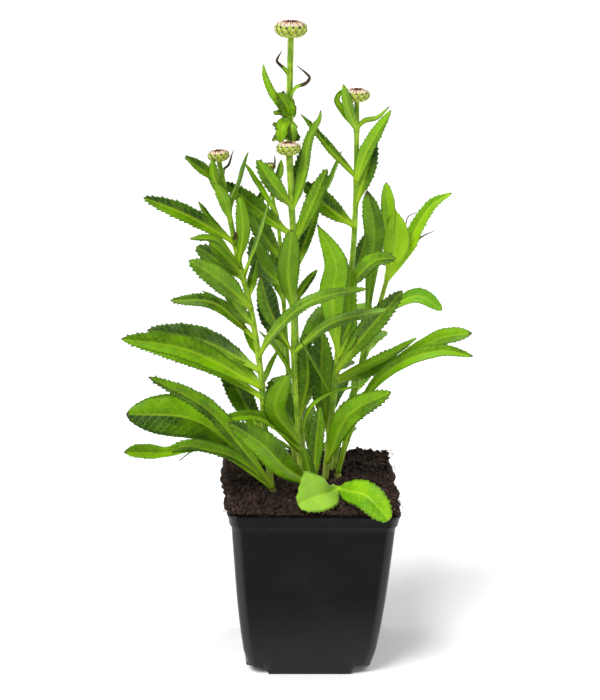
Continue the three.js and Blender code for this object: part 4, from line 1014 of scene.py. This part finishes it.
# The peat: a closed body with a crumbly top, then loose crumbs and fibres on it
peatMake = {
    "seed": 5, "around": 260, "topRows": 84, "squareness": 9, "half": 53.4, "middle": 0.6,
    # noise over the top: size of its lumps, their height, seed
    "noise": ((5.5, 1.6, 1), (2.4, 1.2, 2), (1.1, 0.65, 3)), "nearEdge": (47, 53), "lowest": 115.7,
    # the edge over the rim: half width, how much of the overhang it takes, and its height as a share of the
    # top's own height and a fixed part
    "edge": ((53.8, 0.4, 1, -0.3), (54.2, 0.85, 0.5, 57.8), (54.4, 1, 0, 115.9), (54.0, 0.9, 0, 115.3),
             (53.0, 0, 0, 115.2)),
    # down the inside of the pot and under: half width and height
    "inner": ((52.6, 113.5), (49.2, 104), (45.4, 60), (42.6, 35), (39.4, 14), (36.6, 1.6), (20.0, 1.6),
              (0.6, 1.6)),
    "bed": 1.6,
    # the overhang: drawn back in front, further out towards one side behind, and ragged by a noise
    "front": -44, "frontReach": -2.6, "reach": 1.3, "further": 2.4, "toward": 2.6, "ragged": (30, 2.6, 8),
    "frontRagged": 0.8, "backRagged": 1.6,
    "crumbs": 3400, "fibres": 900, "toEdge": 0.3, "scatter": 54.0,
}


def rounded(halves):
    # outlines between a circle and a square: 1 / (|cos|^n + |sin|^n)^(1/n)
    angle = 2 * np.pi * (np.arange(peatMake["around"]) + 0.5) / peatMake["around"]
    n = peatMake["squareness"]
    reach = (np.abs(np.cos(angle)) ** n + np.abs(np.sin(angle)) ** n) ** (-1 / n)
    return np.array(halves)[:, None, None] * np.stack([reach * np.cos(angle), reach * np.sin(angle)], -1)


def peatSurface(x, y):
    # the height of the peat: its broad shape and three sizes of noise, and never under the rim
    edge = softStep(np.maximum(np.abs(x), np.abs(y)), *peatMake["nearEdge"])
    crumbly = sum(cloud(x, y, size, seed) * height for size, height, seed in peatMake["noise"])
    return np.maximum(peatHeight(x, y) + crumbly * (1 - 0.4 * edge), peatMake["lowest"] + 0.3 * edge)


def overhang(x, y):
    # how far the peat reaches past the rim's middle: behind the rim in front, over it elsewhere, and ragged
    make, angle = peatMake, np.arctan2(y, x)
    radius, size, seed = make["ragged"]
    ragged = cloud(np.cos(angle) * radius, np.sin(angle) * radius, size, seed)
    further = make["further"] * np.cos(angle - make["toward"]).clip(0)
    return np.where(y < make["front"], make["frontReach"] + ragged * make["frontRagged"],
                    make["reach"] + further + ragged * make["backRagged"])


def peatBody():
    # rings from the middle of the top to its edge, over the rim, down inside the pot and under to the middle
    make = peatMake
    top = rounded(np.linspace(make["middle"], make["half"], make["topRows"]))
    topZ = peatSurface(top[..., 0], top[..., 1])
    halves, takes, shares, fixed = (np.array(column)[:, None] for column in zip(*make["edge"]))
    edge = rounded(halves[:, 0])
    reach = np.linalg.norm(edge, axis=-1)
    edge = edge * ((reach + takes * overhang(edge[0, :, 0], edge[0, :, 1])) / reach)[..., None]
    halves, heights = zip(*make["inner"])
    inner = rounded(halves)
    innerZ = np.array(heights)[:, None] + 0 * inner[..., 0]
    floorZ = notchAt(inner[..., 0], inner[..., 1]) + make["bed"]
    innerZ = np.where(innerZ < potMake["notchTop"], np.maximum(innerZ, floorZ), innerZ)
    z = np.concatenate([topZ, shares * topZ[-1] + fixed, innerZ])
    return closedSkin(np.concatenate([np.concatenate([top, edge, inner]), z[..., None]], -1), {})


def scatter(rng, count):
    # places over the square top, with a share of them pushed out to the edge
    place = rng.uniform(-1, 1, (count, 2))
    push = rng.uniform(0, 1, count) < peatMake["toEdge"]
    place[push] /= np.abs(place[push]).max(1, keepdims=True) / rng.uniform(0.93, 1.0, (push.sum(), 1))
    return place * peatMake["scatter"]


crumbMake = {"sizes": (0.3, 1.0), "power": 2.4, "most": 1.7, "stretch": (0.6, 1.35), "knock": (0.7, 1.25),
             "rim": 115.6, "sink": 1.5, "clear": -51, "pale": 0.7}


def crumbSkins(rng):
    # loose crumbs: a twenty-faced ball each, knocked out of round, and none outside the rim in front
    make, count = crumbMake, peatMake["crumbs"]
    gold = (1 + 5 ** 0.5) / 2
    ball = unit(np.array([np.roll((x, y * gold, 0), k) for k in range(3)
                          for x, y in itertools.product((-1, 1), repeat=2)]))
    touch = np.linalg.norm(ball[:, None] - ball[None], axis=-1) < 1.2
    tris = np.array([s for s in itertools.combinations(range(12), 3) if touch[np.ix_(s, s)].all()])
    inward = np.linalg.det(ball[tris]) < 0
    tris[inward] = tris[inward, ::-1]
    place = scatter(rng, count)
    size = rng.uniform(*make["sizes"], count) ** make["power"] * make["most"]
    stretch = rng.uniform(*make["stretch"], (count, 1, 3)) * size[:, None, None]
    knock = rng.uniform(*make["knock"], (count, 12, 1))
    high = peatSurface(*place.T) + size * 0.15
    outside = np.abs(place).max(1) > peatMake["half"]
    high = np.where(outside, np.maximum(make["rim"] + size * 0.4, high - make["sink"]), high)
    keep = ~((place[:, 1] < make["clear"]) & outside)
    points = (ball * knock * stretch + np.column_stack([place, high])[:, None])[keep]
    faces = tris + (np.arange(len(points)) * 12)[:, None, None]
    pale = np.repeat(rng.uniform(0, 1, count)[keep] ** 6 * make["pale"], 12)
    return {"points": points.reshape(-1, 3), "quads": np.zeros((0, 4), int), "tris": faces.reshape(-1, 3),
            "layers": {"pale": pale}, "material": 0}


fibreMake = {"rows": 8, "sides": 3, "bend": (-2.4, 2.4), "length": (2.5, 9.0), "arch": (0.2, 2.2),
             "lift": 0.1, "radius": (0.08, 0.2), "pale": (0.1, 0.95), "outer": 57.5, "front": -54.5}


def fibreSkins(rng):
    # loose fibres: thin three-sided rods bent along a random arc that lies on the peat and arches off it
    make, count, rows, sides = fibreMake, peatMake["fibres"], fibreMake["rows"], fibreMake["sides"]
    place = scatter(rng, count)
    heading = rng.uniform(0, 2 * np.pi, count)[:, None]
    bend = rng.uniform(*make["bend"], count)[:, None]
    length = rng.uniform(*make["length"], count)[:, None]
    t = np.linspace(-0.5, 0.5, rows)[None, :]
    angle = heading + bend * t
    x = place[:, :1] + np.cumsum(np.cos(angle), 1) * length / rows
    y = place[:, 1:] + np.cumsum(np.sin(angle), 1) * length / rows
    x, y = np.clip(x, -make["outer"], make["outer"]), np.clip(y, make["front"], make["outer"])
    z = peatSurface(x, y) + make["lift"] + rng.uniform(*make["arch"], count)[:, None] * (1 - 4 * t ** 2)
    radius = rng.uniform(*make["radius"], count)[:, None] * (1 - 1.2 * t ** 2)
    turn = roundAngles(sides)[0]
    sideways, upwards = radius[..., None] * np.cos(turn), radius[..., None] * np.sin(turn)
    points = np.stack([x[..., None] - np.sin(angle)[..., None] * sideways,
                       y[..., None] + np.cos(angle)[..., None] * sideways, z[..., None] + upwards], -1)
    last = rows * sides
    caps = np.array([[0, 1, 2], [last - 1, last - 2, last - 3]])
    shift = (np.arange(count) * last)[:, None, None]
    pale = np.repeat(rng.uniform(*make["pale"], count), last)
    quads, tris = (faces + shift for faces in (ringQuads(rows, sides)[:, ::-1], caps))
    return {"points": points.reshape(-1, 3), "quads": quads.reshape(-1, 4), "tris": tris.reshape(-1, 3),
            "layers": {"pale": pale}, "material": 0}


rng = np.random.default_rng(peatMake["seed"])
makePiece("peat_fill", [peatBody(), crumbSkins(rng), fibreSkins(rng)], [peat], "peat", "soil")
print("peat ready")

# The studio
studio = {
    "floorHalf": 40.0, "floor": {"Base Color": (0.93, 0.93, 0.93, 1.0), "Roughness": 0.9},
    "horizon": 0.12, "zenith": 0.4,
    # suns and white cards: kind, place, aim, spread in degrees or size in metres, strength or watts
    "lights": {
        "key": ("SUN", (-0.8, -0.9, 2.0), (0, 0, 0.2), 28.0, 3.1),
        "rim": ("SUN", (0.9, 0.8, 1.5), (0, 0, 0.2), 30.0, 1.1),
        "left": ("AREA", (-1.7, 0.7, 0.5), (0, 0, 0.1), 1.0, 12.0),
        "right": ("AREA", (1.3, 0.1, 0.25), (0, 0, 0.06), 0.8, 6.0),
        "low": ("AREA", (-0.5, -1.5, 0.12), (0, 0, 0.0), 0.4, 2.6),
    },
}


def aimed(name, data, place, target):
    thing = link(bpy.data.objects.new(name, data))
    thing.location = place
    thing.rotation_euler = (Vector(target) - Vector(place)).to_track_quat("-Z", "Y").to_euler()
    return thing


def buildStudio():
    # a wide paper floor, a sky that brightens from the horizon up, soft suns, white cards and the camera
    mesh = bpy.data.meshes.new("floor")
    corners = [(x * studio["floorHalf"], y * studio["floorHalf"], 0) for x, y in cornerSigns]
    mesh.from_pydata(corners, [], [(0, 1, 2, 3)])
    floor = link(bpy.data.objects.new("floor", mesh))
    mesh.materials.append(newMaterial("paperFloor", studio["floor"])[0])
    world = bpy.data.worlds.new("studio")
    bpy.context.scene.world = world
    world.use_nodes = True
    tree = world.node_tree
    up = node(tree, "SeparateXYZ", {0: node(tree, "TexCoord").outputs["Generated"]}).outputs["Z"]
    glow = {"Value": up, "To Min": studio["horizon"], "To Max": studio["zenith"]}
    connect(tree, tree.nodes["Background"], {
        "Color": (1, 1, 1, 1), "Strength": node(tree, "MapRange", glow).outputs[0]})
    for name, (kind, place, target, wide, strength) in studio["lights"].items():
        lamp = bpy.data.lights.new(name, kind)
        lamp.energy = strength
        if kind == "SUN":
            lamp.angle = math.radians(wide)
        else:
            lamp.size = wide
        aimed(name, lamp, place, target)
    lens = bpy.data.cameras.new("camera")
    lens.lens = drawing["lens"]
    camera = aimed("camera", lens, eye * mm, np.array(drawing["lookAt"]) * mm)
    camera.rotation_euler.rotate_axis("Z", math.radians(drawing["roll"]))
    bpy.context.scene.camera = camera
    bpy.context.scene.view_settings.view_transform = "Standard"


buildStudio()
print("studio ready")
